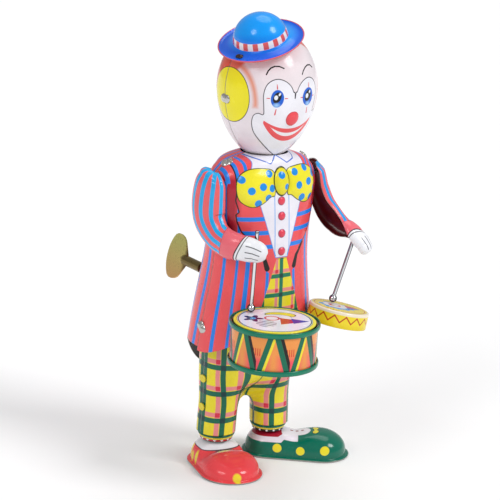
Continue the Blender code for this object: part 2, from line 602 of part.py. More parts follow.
ARBORS = (SECOND_AT, CAM_AT, ESCAPE_AT, GOVERNOR_AT)
plate_front = movement_plate("plate_front", PLATE_FRONT - PLATE_T, ARBORS)
plate_back = movement_plate("plate_back", PLATE_BACK, ARBORS)
for ob, y in ((plate_front, PLATE_FRONT - PLATE_T / 2), (plate_back, PLATE_BACK + PLATE_T / 2)):
    drill(ob, (KEY_AT[0], y, KEY_AT[1]), (0, 1, 0), 1.9, 4.0)
for number, at in enumerate(((-12.5, 118.5), (-14.5, 83.0), (12.0, 82.5)), 1):
    turned("pillar_%d" % number, [(0, PLATE_FRONT + GAP), (1.3, PLATE_FRONT + GAP), (1.3, PLATE_BACK - GAP),
                                  (0, PLATE_BACK - GAP)], STEEL, (at[0], 0, at[1]), (0, 1, 0), segments=12)


# ---------------------------------------------------------------- wheel train
def tooth_outline(teeth, phase=0.0, steps=4):
    """Rounded teeth: the radius swings about the pitch circle once for each tooth."""
    pitch = MODULE * teeth / 2
    points = []
    for i in range(teeth * steps):
        turn = i / (teeth * steps)
        wave = math.cos(math.tau * i / steps + phase)
        swing = 0.78 * MODULE * math.copysign(abs(wave) ** 0.8, wave)
        points.append(((pitch + swing) * math.cos(math.tau * turn), (pitch + swing) * math.sin(math.tau * turn)))
    return points


def wheel(name, teeth, at, y, thickness, parent, bore=BORE_R, turn=0.0):
    """A stamped brass wheel with a plain bore; turn sets where its first tooth points."""
    outline = [tuple(Matrix.Rotation(turn, 2) @ Vector(p)) for p in tooth_outline(teeth)]
    ob = prism(name, outline, thickness, BRASS, frame_at((at[0], y, at[1]), (1, 0, 0), (0, 0, -1)), parent)
    return drill(ob, (at[0], y + thickness / 2, at[1]), (0, 1, 0), bore, thickness + 2.0)


def mesh_turn(direction, teeth, lead):
    """Turn that puts a tooth (lead) or a gap on the line of centres, at direction degrees."""
    step = math.tau / teeth
    return -math.radians(direction) + (0.0 if lead else step / 2)


def arbor(name, at, y_low, y_high, parent, radius=ARBOR_R):
    """A plain round arbor along Y."""
    return turned(name, [(0, y_low), (radius, y_low), (radius, y_high), (0, y_high)], STEEL,
                  (at[0], 0, at[1]), (0, 1, 0), segments=12, parent=parent)


def pinion_arbor(name, at, y_low, y_high, parent, pinion_y, pinion_width, direction):
    """An arbor with its pinion cut from the same wire; a gap faces the wheel that drives it."""
    rod = arbor(name, at, y_low, y_high, parent)
    outline = [tuple(Matrix.Rotation(mesh_turn(direction, PINION_TEETH, False), 2) @ Vector(p))
               for p in tooth_outline(PINION_TEETH)]
    leaves = prism("leaves_" + name, outline, pinion_width, STEEL,
                   frame_at((at[0], pinion_y, at[1]), (1, 0, 0), (0, 0, -1)))
    return join(rod, leaves)


key_axis = pivot("key", (KEY_AT[0], 0, KEY_AT[1]))
arbor("winding_arbor", KEY_AT, -12.2, 22.6, key_axis, 1.5)
wheel("great_wheel", WHEEL_TEETH, KEY_AT, 3.4, 1.4, key_axis, bore=1.85,
      turn=mesh_turn(20.0, WHEEL_TEETH, True))

# Key: sheet brass wings on a rolled barrel with a slot that takes the sheet
BARREL_START, BARREL_END = 23.0, KEY_Y - KEY_HALF_LENGTH + 3.0
barrel = turned("key_barrel", [(0, BARREL_START), (2.65, BARREL_START), (2.65, BARREL_END), (0, BARREL_END)],
                BRASS, (KEY_AT[0], 0, KEY_AT[1]), (0, 1, 0), segments=16)
lean = math.radians(KEY_LEAN)
up = Vector((math.sin(lean), 0.0, math.cos(lean)))
wing = []
corners = [(-8.6, 2.7, 0.6), (-3.2, 11.0, 3.0), (5.2, 12.5, 4.4), (9.0, 4.0, 3.0), (9.0, -4.0, 3.0),
           (5.2, -12.5, 4.4), (-3.2, -11.0, 3.0), (-8.6, -2.7, 0.6)]
for i, (a, b, radius) in enumerate(corners):
    here = Vector((a, b))
    before = (Vector(corners[i - 1][:2]) - here).normalized()
    after = (Vector(corners[(i + 1) % len(corners)][:2]) - here).normalized()
    for u in np.linspace(0.0, 1.0, 4):
        start, end = here + before * radius, here + after * radius
        wing.append(tuple((1 - u) ** 2 * start + 2 * u * (1 - u) * here + u * u * end))
square = Vector((0, 1, 0)).cross(up).normalized()
key_middle = Vector((KEY_AT[0], KEY_Y, KEY_AT[1]))
key = prism("winding_key", wing, 1.0, BRASS, frame_at(key_middle - square * 0.5, (0, 1, 0), up), key_axis)
join(key, barrel)

# Mainspring: a flat spiral whose coils lie between the plates around the arbor
TURNS, SPRING_IN, SPRING_OUT, SPRING_T = 4.0, 3.0, 9.6, 0.45
angles = np.linspace(0.0, math.tau * TURNS, int(18 * TURNS) + 1)
radii = SPRING_IN + (SPRING_OUT - SPRING_IN) * angles / angles[-1]
spiral = [(r * math.cos(t), r * math.sin(t)) for r, t in zip(radii, angles)]
spiral += [((r - SPRING_T) * math.cos(t), (r - SPRING_T) * math.sin(t))
           for r, t in reversed(list(zip(radii, angles)))]
spring_bm = bmesh.new()
count = len(angles)
ring = [spring_bm.verts.new((x, y, 0.0)) for x, y in spiral]
for i in range(count - 1):
    spring_bm.faces.new((ring[i], ring[i + 1], ring[2 * count - 2 - i], ring[2 * count - 1 - i]))
top = bmesh.ops.extrude_face_region(spring_bm, geom=spring_bm.faces[:])
bmesh.ops.translate(spring_bm, verts=[v for v in top["geom"] if isinstance(v, bmesh.types.BMVert)],
                    vec=(0, 0, 6.4))
bmesh.ops.recalc_face_normals(spring_bm, faces=spring_bm.faces[:])
spring_bm.transform(across_y(KEY_AT, -4.4))
finish("mainspring", spring_bm, STEEL)

second_axis = pivot("second", (SECOND_AT[0], 0, SECOND_AT[1]))
pinion_arbor("second_arbor", SECOND_AT, -11.8, 9.8, second_axis, 2.9, 2.4, 200.0)
wheel("second_wheel", WHEEL_TEETH, SECOND_AT, -7.2, 1.2, second_axis,
      turn=mesh_turn(70.0, WHEEL_TEETH, True))

cam_axis = pivot("cam", (CAM_AT[0], 0, CAM_AT[1]))
pinion_arbor("cam_arbor", CAM_AT, -16.7, 9.8, cam_axis, -7.7, 2.2, 250.0)
wheel("third_wheel", WHEEL_TEETH, CAM_AT, -2.6, 1.2, cam_axis, turn=mesh_turn(-50.0, WHEEL_TEETH, True))


def cam(name, y, lobe_turn):
    """Three-lobed cam with an even number of points, so its bore can share them."""
    count = 36
    outline = []
    for i in range(count):
        t = math.tau * i / count
        r = 8.9 + 1.3 * math.cos(3 * (t + lobe_turn))
        outline.append((r * math.cos(t), r * math.sin(t)))
    prism(name, outline, 1.1, STEEL, frame_at((CAM_AT[0], y, CAM_AT[1]), (1, 0, 0), (0, 0, -1)), cam_axis,
          bore=circle(BORE_R, count))


cam("cam_right", -13.2, 0.0)
cam("cam_left", -15.5, math.pi / 3)

escape_axis = pivot("escape", (ESCAPE_AT[0], 0, ESCAPE_AT[1]))
pinion_arbor("escape_arbor", ESCAPE_AT, -11.8, 9.8, escape_axis, -3.1, 2.2, 130.0)
STAR_TEETH = 10
star = []
for i in range(STAR_TEETH):
    for share, radius in ((0.0, 5.2), (0.18, 5.0), (0.5, 3.4), (0.82, 3.6)):
        t = math.tau * (i + share) / STAR_TEETH
        star.append((radius * math.cos(t), radius * math.sin(t)))
prism("escape_wheel", star, 1.0, BRASS, frame_at((ESCAPE_AT[0], 4.8, ESCAPE_AT[1]), (1, 0, 0), (0, 0, -1)),
      escape_axis, bore=circle(BORE_R, len(star)))

governor_axis = pivot("governor", (GOVERNOR_AT[0], 0, GOVERNOR_AT[1]))
yoke = [(-6.2, 3.6), (-5.0, 4.2), (-2.2, 2.1), (2.2, 2.1), (5.0, 4.2), (6.2, 3.6), (3.0, -1.2), (0.0, -2.2),
        (-3.0, -1.2)]
anchor = prism("anchor_blank", yoke, 1.0, STEEL,
               frame_at((GOVERNOR_AT[0], 5.8, GOVERNOR_AT[1]), (1, 0, 0), (0, 0, 1)))
join(arbor("governor_anchor", GOVERNOR_AT, -11.8, 9.8, governor_axis), anchor)
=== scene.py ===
"""Wind-up tin clown drummer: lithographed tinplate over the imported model's frame.

Lengths are millimetres in the toy's own frame (X = 0 is the clown's middle plane, Z = 0 the table,
the clown looks along -Y) and are turned into the row frame in metres as each mesh is made.
"""
import math

import bmesh
import bpy
import numpy as np
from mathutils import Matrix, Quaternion, Vector


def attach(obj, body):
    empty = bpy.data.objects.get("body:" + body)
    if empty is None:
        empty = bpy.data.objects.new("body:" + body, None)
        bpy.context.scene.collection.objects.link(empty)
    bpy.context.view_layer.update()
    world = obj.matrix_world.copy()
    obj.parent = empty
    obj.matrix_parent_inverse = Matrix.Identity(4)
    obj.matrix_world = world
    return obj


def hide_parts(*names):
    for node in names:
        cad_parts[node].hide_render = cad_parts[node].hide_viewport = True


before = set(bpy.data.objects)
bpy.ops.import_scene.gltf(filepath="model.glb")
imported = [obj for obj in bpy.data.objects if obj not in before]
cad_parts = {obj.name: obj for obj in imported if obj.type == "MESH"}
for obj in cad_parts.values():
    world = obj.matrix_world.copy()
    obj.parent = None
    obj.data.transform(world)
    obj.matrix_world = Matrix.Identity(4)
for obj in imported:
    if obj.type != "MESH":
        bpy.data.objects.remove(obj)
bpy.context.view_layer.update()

# ------------------------------------------------------------------------------ studio
# A seamless sheet of white card under the toy, with two round soft lamps at the front and one
# above, so that the varnish shows small round lights as it does under shop lamps.


def linear(hex_colour, alpha=1.0):
    """sRGB hex such as "#ff5a5f" turned to the linear RGBA that shaders work in."""
    code = hex_colour.lstrip("#")
    channels = [int(code[i:i + 2], 16) / 255 for i in (0, 2, 4)]
    return (*[c / 12.92 if c <= 0.04045 else ((c + 0.055) / 1.055) ** 2.4 for c in channels], alpha)


def node(tree, kind, settings=None, links=None):
    """Adds one node; a setting goes to the socket of that name, or else to the node's property."""
    made = tree.nodes.new("ShaderNode" + kind)
    for key, value in (settings or {}).items():
        if hasattr(made, str(key)):
            setattr(made, key, value)
        else:
            made.inputs[key].default_value = value
    for key, source in (links or {}).items():
        tree.links.new(source, made.inputs[key])
    return made


scene = bpy.context.scene
scene.view_settings.view_transform = "Standard"
scene.view_settings.look = "None"

world = bpy.data.worlds.new("white_studio")
world.use_nodes = True
world.node_tree.nodes["Background"].inputs["Color"].default_value = linear("#fbfbfd")
world.node_tree.nodes["Background"].inputs["Strength"].default_value = 0.42
scene.world = world

# Matt coated card: soft shadow, no shine, and a fibre of about 1 mm that only shows close up
card = bpy.data.materials.new("white_card")
card.use_nodes = True
card_coords = node(card.node_tree, "TexCoord")
card_fibre = node(card.node_tree, "TexNoise", {"Scale": 900.0, "Detail": 3.0},
                  {"Vector": card_coords.outputs["Object"]})
card_bump = node(card.node_tree, "Bump", {"Strength": 0.05, "Distance": 0.0001},
                 {"Height": card_fibre.outputs["Fac"]})
card_shader = card.node_tree.nodes["Principled BSDF"]
card_shader.inputs["Base Color"].default_value = linear("#fafafa")
card_shader.inputs["Roughness"].default_value = 0.85
card.node_tree.links.new(card_bump.outputs["Normal"], card_shader.inputs["Normal"])

CARD_HALF = 3.0                            # metres from the toy to each edge of the card
reach = np.linspace(-CARD_HALF, CARD_HALF, 3)
sheet_x, sheet_y = np.meshgrid(reach, reach, indexing="ij")
corner_index = np.array([[0, 3, 4, 1]]) + np.array([[0], [1], [3], [4]])
card_mesh = bpy.data.meshes.new("white_card")
card_mesh.from_pydata(np.stack([sheet_x, sheet_y, 0 * sheet_x], -1).reshape(-1, 3).tolist(), [],
                      corner_index.tolist())
card_mesh.materials.append(card)
floor = bpy.data.objects.new("white_card", card_mesh)
scene.collection.objects.link(floor)

for lamp_name, place, spread, power in (("lamp_left", (-1.10, -0.35, 0.85), 22.0, 0.75),
                                        ("lamp_right", (0.55, -0.90, 0.95), 22.0, 1.45),
                                        ("lamp_top", (0.25, 0.20, 1.00), 40.0, 0.80)):
    lamp_data = bpy.data.lights.new(lamp_name, "SUN")
    lamp_data.angle = math.radians(spread)
    lamp_data.energy = power
    lamp = bpy.data.objects.new(lamp_name, lamp_data)
    lamp.location = place
    lamp.rotation_euler = (-Vector(place)).to_track_quat("-Z", "Y").to_euler()
    scene.collection.objects.link(lamp)

# The viewpoint: from the clown's right and a little above, with a long lens held 3 degrees off level
MM = 0.001
CENTRE = np.array([6.71, -7.48, 0.0])      # middle of the toy's footprint in its own frame
azimuth, elevation = math.radians(-35.0), math.radians(15.5)
towards_camera = Vector((math.sin(azimuth) * math.cos(elevation), -math.cos(azimuth) * math.cos(elevation),
                         math.sin(elevation)))
camera = bpy.data.objects.new("camera", bpy.data.cameras.new("camera"))
camera.location = Vector((0.0, 0.0, 115.0)) * MM - Vector(CENTRE) * MM + towards_camera
camera.rotation_mode = "QUATERNION"
camera.rotation_quaternion = (towards_camera.to_track_quat("Z", "Y")
                              @ Quaternion((0.0, 0.0, 1.0), math.radians(3.0)))
camera.data.lens = 144.0
camera.data.sensor_width = 36.0
camera.data.shift_x = -0.004
camera.data.shift_y = -0.0194
scene.collection.objects.link(camera)
scene.camera = camera

# ------------------------------------------------------------------------------ coat
# Two drawn halves of 0.3 mm tinplate, printed flat by offset lithography, varnished, stamped to
# shape and clinched at the sides by tabs. The bow tie and the four buttons are embossed.
COAT = [(44.0, 33.4, -27.0, -3.5, 26.0), (62.0, 32.5, -27.0, -3.5, 24.5), (84.0, 29.2, -27.0, -3.8, 23.5),
        (97.0, 27.0, -26.8, -4.2, 22.4), (111.0, 25.6, -26.0, -4.6, 19.5), (125.0, 26.0, -25.0, -5.2, 16.5),
        (140.0, 28.2, -23.4, -6.0, 13.5), (150.0, 28.5, -22.0, -6.2, 12.0), (156.0, 25.6, -20.6, -6.4, 11.0),
        (160.5, 19.0, -19.4, -6.5, 9.0), (162.6, 11.4, -17.2, -6.5, 4.9)]
SEAM_GAP = 0.35
TIN = 0.5


def smooth_table(table, x):
    """Cubic Hermite curve through the rows of a table with slopes from the neighbouring rows,
    read at the values x of its first column."""
    t = np.asarray(table, float)
    x = np.clip(np.asarray(x, float), t[0, 0], t[-1, 0])
    i = np.clip(np.searchsorted(t[:, 0], x, side="right") - 1, 0, len(t) - 2)
    h = (t[i + 1, 0] - t[i, 0])[..., None]
    u = (x - t[i, 0])[..., None] / h
    slope = np.gradient(t[:, 1:], t[:, 0], axis=0)
    a, b = t[i, 1:], t[i + 1, 1:]
    return ((2 * u**3 - 3 * u**2 + 1) * a + (u**3 - 2 * u**2 + u) * h * slope[i]
            + (-2 * u**3 + 3 * u**2) * b + (u**3 - u**2) * h * slope[i + 1])


def along_rows(grid):
    """Distance in mm run along each row of a grid of points, from its first column."""
    step = np.linalg.norm(np.diff(grid, axis=1), axis=2)
    return np.concatenate([np.zeros((len(grid), 1)), np.cumsum(step, axis=1)], axis=1)


def outward_normals(grid, inner_point):
    """Unit normals of a grid: cross product of its two slopes, turned away from the inner point."""
    normal = np.cross(np.gradient(grid, axis=1), np.gradient(grid, axis=0))
    length = np.linalg.norm(normal, axis=2, keepdims=True)
    normal = normal / np.maximum(length, 1e-9)
    away = ((grid - np.asarray(inner_point, float)) * normal).sum()
    return normal if away > 0 else -normal


def rounded_outline(points, steps=6):
    """Closed smooth outline: Catmull-Rom cubic through the points, read at a few steps each."""
    p = np.asarray(points, float)
    before, after, later = np.roll(p, 1, 0), np.roll(p, -1, 0), np.roll(p, -2, 0)
    u = np.linspace(0.0, 1.0, steps, endpoint=False)[None, :, None]
    a, b, c, d = before[:, None], p[:, None], after[:, None], later[:, None]
    curve = 0.5 * (2 * b + (c - a) * u + (2 * a - 5 * b + 4 * c - d) * u**2 + (3 * b - a - 3 * c + d) * u**3)
    return curve.reshape(-1, 2)


def mirrored(points):
    """A half outline on the clown's right, top to bottom, closed by its mirror image."""
    p = np.asarray(points, float)
    return np.concatenate([p, p[::-1] * (-1.0, 1.0)])


def inside(x, y, outline):
    """Signed distance in mm to a closed outline: the least distance to any of its sides, negative
    where a line to the side crosses the outline an odd number of times."""
    distance = np.full(np.shape(x), 1e9)
    odd = np.zeros(np.shape(x), bool)
    for (ax, ay), (bx, by) in zip(outline, np.roll(outline, -1, 0)):
        ux, uy = bx - ax, by - ay
        t = np.clip(((x - ax) * ux + (y - ay) * uy) / (ux * ux + uy * uy + 1e-12), 0, 1)
        distance = np.minimum(distance, np.hypot(x - ax - ux * t, y - ay - uy * t))
        if ay != by:
            odd ^= ((ay > y) != (by > y)) & (x < ax + ux * (y - ay) / (by - ay))
    return np.where(odd, -distance, distance)


def ellipse(x, y, middle, half_width, half_height, turn=0.0):
    """Signed distance to an ellipse, near enough: (k - 1) times the mean radius, where k is the
    scaled distance from its middle; turn is in degrees."""
    c, s = math.cos(math.radians(turn)), math.sin(math.radians(turn))
    u, v = x - middle[0], y - middle[1]
    k = np.hypot((u * c + v * s) / half_width, (v * c - u * s) / half_height)
    return (k - 1) * min(half_width, half_height)


def wrap(value, period):
    """Distance to the nearest multiple of the period."""
    return np.abs((value + period / 2) % period - period / 2)


def near(*fields):
    """Union of shapes: the least of their signed distances."""
    return np.minimum.reduce(fields)


def within(*fields):
    """Part common to all shapes: the greatest of their signed distances."""
    return np.maximum.reduce(fields)


def stamped(name, grid, inks, inner_point, body, cad_node, fields=None, closed=False, wall=TIN,
            keep=None):
    """Sheet through grid[i, j] (toy mm): quads between neighbouring points where keep allows them,
    coincident points merged, faces turned away from the inner point, and the wall given by
    Solidify. inks are the printed face, the inside and the cut edge; fields are point attributes
    read by the print."""
    rows, columns = grid.shape[:2]
    index = np.arange(rows * columns).reshape(rows, columns)
    if closed:
        index = np.concatenate([index, index[:, :1]], axis=1)
    quads = np.stack([index[:-1, :-1], index[:-1, 1:], index[1:, 1:], index[1:, :-1]], -1)
    points = grid.reshape(-1, 3)
    edge_a = points[quads[..., 1]] - points[quads[..., 0]]
    edge_b = points[quads[..., 3]] - points[quads[..., 0]]
    middle = points[quads].mean(2)
    if (np.cross(edge_a, edge_b) * (middle - np.asarray(inner_point, float))).sum() < 0:
        quads = quads[..., ::-1]
    quads = quads.reshape(-1, 4) if keep is None else quads[keep]
    mesh = bpy.data.meshes.new(name)
    mesh.from_pydata(((points - CENTRE) * MM).tolist(), [], quads.tolist())
    for key, values in (fields or {}).items():
        layer = mesh.attributes.new(key, "FLOAT", "POINT")
        layer.data.foreach_set("value", np.ascontiguousarray(values, np.float32).reshape(-1))
    bm = bmesh.new()
    bm.from_mesh(mesh)
    bmesh.ops.remove_doubles(bm, verts=bm.verts[:], dist=2e-6)
    bmesh.ops.dissolve_degenerate(bm, edges=bm.edges[:], dist=1e-6)
    bm.to_mesh(mesh)
    bm.free()
    mesh.shade_smooth()
    for ink in inks:
        mesh.materials.append(ink)
    piece = bpy.data.objects.new(name, mesh)
    scene.collection.objects.link(piece)
    if wall:
        sheet = piece.modifiers.new("sheet", "SOLIDIFY")
        sheet.thickness = wall * MM
        sheet.offset = -1.0
        sheet.material_offset = 1
        sheet.material_offset_rim = 2
    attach(piece, body)
    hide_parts(cad_node)


def printed_tin(name, ground, inks=(), roughness=0.2):
    """Lithographed tinplate. ground is the base ink; each further ink is (attribute, colour) with a
    width and a softness after them where needed: it shows where the signed distance is negative
    or, when a width is given, within half that width of zero, and its edge is 0.07 mm soft unless
    told otherwise. Over the inks lie clouds of about 9 mm (110 per metre) that tint and rub the
    varnish, an orange peel of 1.6 mm (620) and a half-tone grain of 0.4 mm (2600)."""
    made = bpy.data.materials.new(name)
    made.use_nodes = True
    tree = made.node_tree
    shader = tree.nodes["Principled BSDF"]
    coords = node(tree, "TexCoord")
    clouds = node(tree, "TexNoise", {"Scale": 110.0, "Detail": 2.0}, {"Vector": coords.outputs["Object"]})
    grain = node(tree, "TexNoise", {"Scale": 2600.0, "Detail": 1.0}, {"Vector": coords.outputs["Object"]})
    peel = node(tree, "TexNoise", {"Scale": 620.0, "Detail": 2.0}, {"Vector": coords.outputs["Object"]})
    below = None
    for attribute, ink, *edge in inks:
        width, softness = (*edge, *(None, 0.07)[len(edge):])
        field = node(tree, "Attribute", {"attribute_name": attribute}).outputs["Fac"]
        if width:
            size = node(tree, "Math", {"operation": "ABSOLUTE"}, {0: field})
            line = node(tree, "Math", {"operation": "SUBTRACT", 1: width / 2}, {0: size.outputs[0]})
            field = line.outputs[0]
        mask = node(tree, "MapRange", {"From Min": softness, "From Max": -softness}, {"Value": field})
        layer = node(tree, "MixRGB", {"Color1": linear(ground), "Color2": linear(ink)},
                     {"Fac": mask.outputs[0], **({"Color1": below} if below else {})})
        below = layer.outputs[0]
    tint = node(tree, "MapRange", {"From Min": 0.3, "From Max": 0.7, "To Min": 0.9, "To Max": 1.0},
                {"Value": clouds.outputs["Fac"]})
    dots = node(tree, "MapRange", {"From Min": 0.35, "From Max": 0.65, "To Min": 0.95, "To Max": 1.0},
                {"Value": grain.outputs["Fac"]})
    both = node(tree, "Math", {"operation": "MULTIPLY"}, {0: tint.outputs[0], 1: dots.outputs[0]})
    shade = node(tree, "CombineColor", {}, {"Red": both.outputs[0], "Green": both.outputs[0],
                                            "Blue": both.outputs[0]})
    final = node(tree, "MixRGB", {"blend_type": "MULTIPLY", "Fac": 0.7, "Color1": linear(ground)},
                 {"Color2": shade.outputs[0], **({"Color1": below} if below else {})})
    rubbed = node(tree, "MapRange", {"From Min": 0.42, "From Max": 0.72, "To Min": roughness,
                                     "To Max": roughness + 0.16}, {"Value": clouds.outputs["Fac"]})
    bump = node(tree, "Bump", {"Strength": 0.10, "Distance": 0.00012},
                {"Height": peel.outputs["Fac"]})
    tree.links.new(final.outputs[0], shader.inputs["Base Color"])
    tree.links.new(rubbed.outputs[0], shader.inputs["Roughness"])
    tree.links.new(bump.outputs["Normal"], shader.inputs["Normal"])
    shader.inputs["IOR"].default_value = 1.5
    shader.inputs["Specular IOR Level"].default_value = 0.28
    shader.inputs["Coat Weight"].default_value = 0.2
    shader.inputs["Coat Roughness"].default_value = 0.06
    return made


def bare_metal(name, colour, roughness, stretch=(1.0, 1.0, 1.0), scale=700.0, contrast=0.25, depth=0.15):
    """Unpainted metal: full metallic, with marks of rolling or drawing (700 per metre is 1.4 mm)
    from stretched noise that vary colour and roughness, and tarnish in clouds of 6 mm (170)."""
    made = bpy.data.materials.new(name)
    made.use_nodes = True
    tree = made.node_tree
    shader = tree.nodes["Principled BSDF"]
    coords = node(tree, "TexCoord")
    turned = node(tree, "Mapping", {"Scale": stretch}, {"Vector": coords.outputs["Object"]})
    marks = node(tree, "TexNoise", {"Scale": scale, "Detail": 4.0}, {"Vector": turned.outputs[0]})
    clouds = node(tree, "TexNoise", {"Scale": 170.0, "Detail": 3.0}, {"Vector": coords.outputs["Object"]})
    blend = node(tree, "Math", {"operation": "MULTIPLY"}, {0: marks.outputs["Fac"], 1: clouds.outputs["Fac"]})
    dull = tuple(c * (1 - contrast) for c in linear(colour)[:3]) + (1.0,)
    ramp = node(tree, "MapRange", {"From Min": 0.12, "From Max": 0.36}, {"Value": blend.outputs[0]})
    tone = node(tree, "MixRGB", {"Color1": dull, "Color2": linear(colour)}, {"Fac": ramp.outputs[0]})
    rough = node(tree, "MapRange", {"From Min": 0.3, "From Max": 0.7, "To Min": roughness * 0.8,
                                    "To Max": roughness * 1.35}, {"Value": marks.outputs["Fac"]})
    bump = node(tree, "Bump", {"Strength": depth, "Distance": 0.00005}, {"Height": marks.outputs["Fac"]})
    tree.links.new(tone.outputs[0], shader.inputs["Base Color"])
    tree.links.new(rough.outputs[0], shader.inputs["Roughness"])
    tree.links.new(bump.outputs["Normal"], shader.inputs["Normal"])
    shader.inputs["Metallic"].default_value = 1.0
    return made


# Rolled tinplate shows greyish and streaked inside the body; a sheared edge is a thin duller line
tinplate_inside = bare_metal("rolled_tinplate", "#c9c6bf", 0.34, stretch=(1.0, 0.08, 1.0))
cut_edge = bare_metal("sheared_tin_edge", "#b9b7b2", 0.4, scale=1500.0)


def coat_point(z, angle, front):
    """Superellipse section: x is minus the half width times the signed 0.87 power of the cosine,
    y is the seam plus or minus half the gap and the depth times the 0.87 power of the sine."""
    half, y_front, seam, y_back = np.moveaxis(smooth_table(COAT, z), -1, 0)
    depth = (seam - SEAM_GAP / 2 - y_front) if front else (y_back - seam - SEAM_GAP / 2)
    side = -1.0 if front else 1.0
    x = -half * np.sign(np.cos(angle)) * np.abs(np.cos(angle)) ** 0.87
    y = seam + side * (SEAM_GAP / 2 + depth * np.abs(np.sin(angle)) ** 0.87)
    return np.stack([x, y, z + 0 * x], -1)


def coat_half(front, columns, levels):
    """One half of the coat as a grid from hem to neck. The front hem rises 12 mm to its middle by
    the square of the sine; the back hem drops 20 mm into a tail by the square of the sine's excess
    over 0.45."""
    angle = np.linspace(0.0, math.pi, columns)[None, :]
    level = np.linspace(0.0, 1.0, levels)[:, None]
    if front:
        hem = 63.0 + 12.0 * np.sin(angle) ** 2
    else:
        hem = 65.0 - 20.0 * np.clip((np.sin(angle) - 0.45) / 0.52, 0, 1) ** 2
    z = hem + (COAT[-1][0] - hem) * (1 - (1 - level) ** 1.25)
    return coat_point(z, angle + 0 * z, front)


# Print of the front: every shape is drawn in mm as seen from straight ahead
BLANK = 92.0                               # width of the flat coat print, mm
# The coat's unprinted side is near-black, so the open hem looks dark
coat_lining = printed_tin("coat_inside_near_black", "#17151a", roughness=0.35)
coat_front = coat_half(True, 236, 190)
cx, cz = coat_front[..., 0], coat_front[..., 2]
girth = along_rows(coat_front)
flat = (girth / girth[:, -1:] - 0.5) * BLANK

vest = inside(cx, cz, mirrored([
    (-22.7, 166.0), (-22.6, 148.0), (-23.0, 141.9), (-21.4, 136.3), (-22.6, 134.9), (-22.0, 131.5),
    (-20.2, 126.8), (-16.2, 121.6), (-12.0, 117.6), (-9.6, 113.9), (-8.2, 110.4), (-7.6, 106.0)]))
shirt = inside(cx, cz, mirrored([
    (-13.4, 166.0), (-14.2, 160.3), (-15.4, 157.0), (-15.4, 148.0), (-11.5, 138.7), (-8.6, 129.7),
    (-5.6, 120.0), (-3.5, 113.2)]))
collar = inside(cx, cz, [
    (-14.2, 162.4), (-9.6, 161.0), (-5.2, 159.2), (-1.0, 162.9), (4.2, 159.2), (8.6, 160.6),
    (10.6, 163.0), (10.6, 170.0), (-14.2, 170.0)])
skirt_stripes = within(near(*[np.abs(np.abs(flat) - at) - wide for at, wide in (
    (8.9, 1.0), (21.3, 1.35), (27.9, 0.9), (36.6, 1.2))]), -vest, cz - 151.0)
vest_stripes = within(near(*[np.abs(cz - at - 0.012 * cx) - 1.08 for at in (133.0, 126.1, 119.0)]), vest)
shoulder_stripes = within(wrap(np.abs(cx) - 17.9, 3.9) - 0.75, 150.0 - cz, 16.6 - np.abs(cx))
belly = within(np.abs(cx - 0.1) - 2.9 - np.maximum(0.0, 112.6 - cz) * 0.325, cz - 112.8)
check_down = wrap(cz - 94.2, 9.6) - 1.05
check_across = wrap(cx - 0.1, 10.2) - 1.05
pink_down = wrap(cz - 96.5, 9.6) - 0.95
pink_across = wrap(cx + 2.6, 10.2) - 0.85
buttons = [np.hypot(cx, cz - at) - 2.05 for at in (141.0, 133.6, 125.0, 116.1)]

lobe = np.array([(3.6, 155.0), (9.6, 157.2), (16.4, 156.8), (21.4, 153.6), (22.9, 148.2), (21.7, 142.4),
                 (17.8, 139.3), (14.0, 138.9), (9.8, 140.7), (6.2, 143.3), (3.6, 144.6)])
bow_right = inside(cx, cz, rounded_outline(lobe * (-1.0, 1.0)))
bow_left = inside(cx, cz, rounded_outline(lobe))
knot = ellipse(cx, cz, (0.3, 150.5), 4.4, 6.9)
loops = within(near(bow_right, bow_left), -knot)
spots = near(*[np.hypot(cx - x, cz - z) - 1.85 for x, z in (
    (-20.6, 152.2), (-16.4, 146.9), (-10.7, 148.6), (-5.6, 147.6), (-6.8, 154.6), (-13.0, 140.7),
    (-7.6, 143.0), (8.0, 154.3), (14.9, 155.6), (20.6, 152.0), (10.1, 147.7), (16.5, 148.7), (21.6, 144.8),
    (18.4, 140.9), (12.2, 141.6))])
knot_spots = near(np.hypot(cx + 0.4, cz - 153.4) - 1.8, np.hypot(cx - 2.3, cz - 147.8) - 1.5)


def tapered_stroke(x, y, start, end, thin, thick):
    """Signed distance to a stroke that widens from start to end, with round ends."""
    (ax, ay), (bx, by) = start, end
    t = np.clip(((x - ax) * (bx - ax) + (y - ay) * (by - ay)) / ((bx - ax) ** 2 + (by - ay) ** 2), 0, 1)
    return np.hypot(x - ax - (bx - ax) * t, y - ay - (by - ay) * t) - (thin + (thick - thin) * t) / 2


commas = near(*[near(tapered_stroke(cx, cz, (s * 14.2, 118.9), (s * 9.6, 113.2), 0.6, 1.9),
                     tapered_stroke(cx, cz, (s * 9.6, 113.2), (s * 8.0, 108.0), 1.9, 2.7)) for s in (-1, 1)])
arm_shadow = within(21.0 - np.abs(cx), np.abs(cz - 137.0) - 17.0) + 0.8

# Embossing: the loops swell to 1.5 mm, the knot to 2.2 mm and each button to 1 mm
relief = (1.5 * np.sin(math.pi / 2 * np.clip(-loops / 5.5, 0, 1)) ** 0.8
          + 2.2 * np.sin(math.pi / 2 * np.clip(-knot / 3.0, 0, 1)) ** 0.8
          + sum(1.0 * np.sqrt(np.clip(1 - (np.clip(b + 2.05, 0, 9) / 2.0) ** 2, 0, 1)) for b in buttons))
coat_front = coat_front + outward_normals(coat_front, (0, -3, 110)) * relief[..., None]

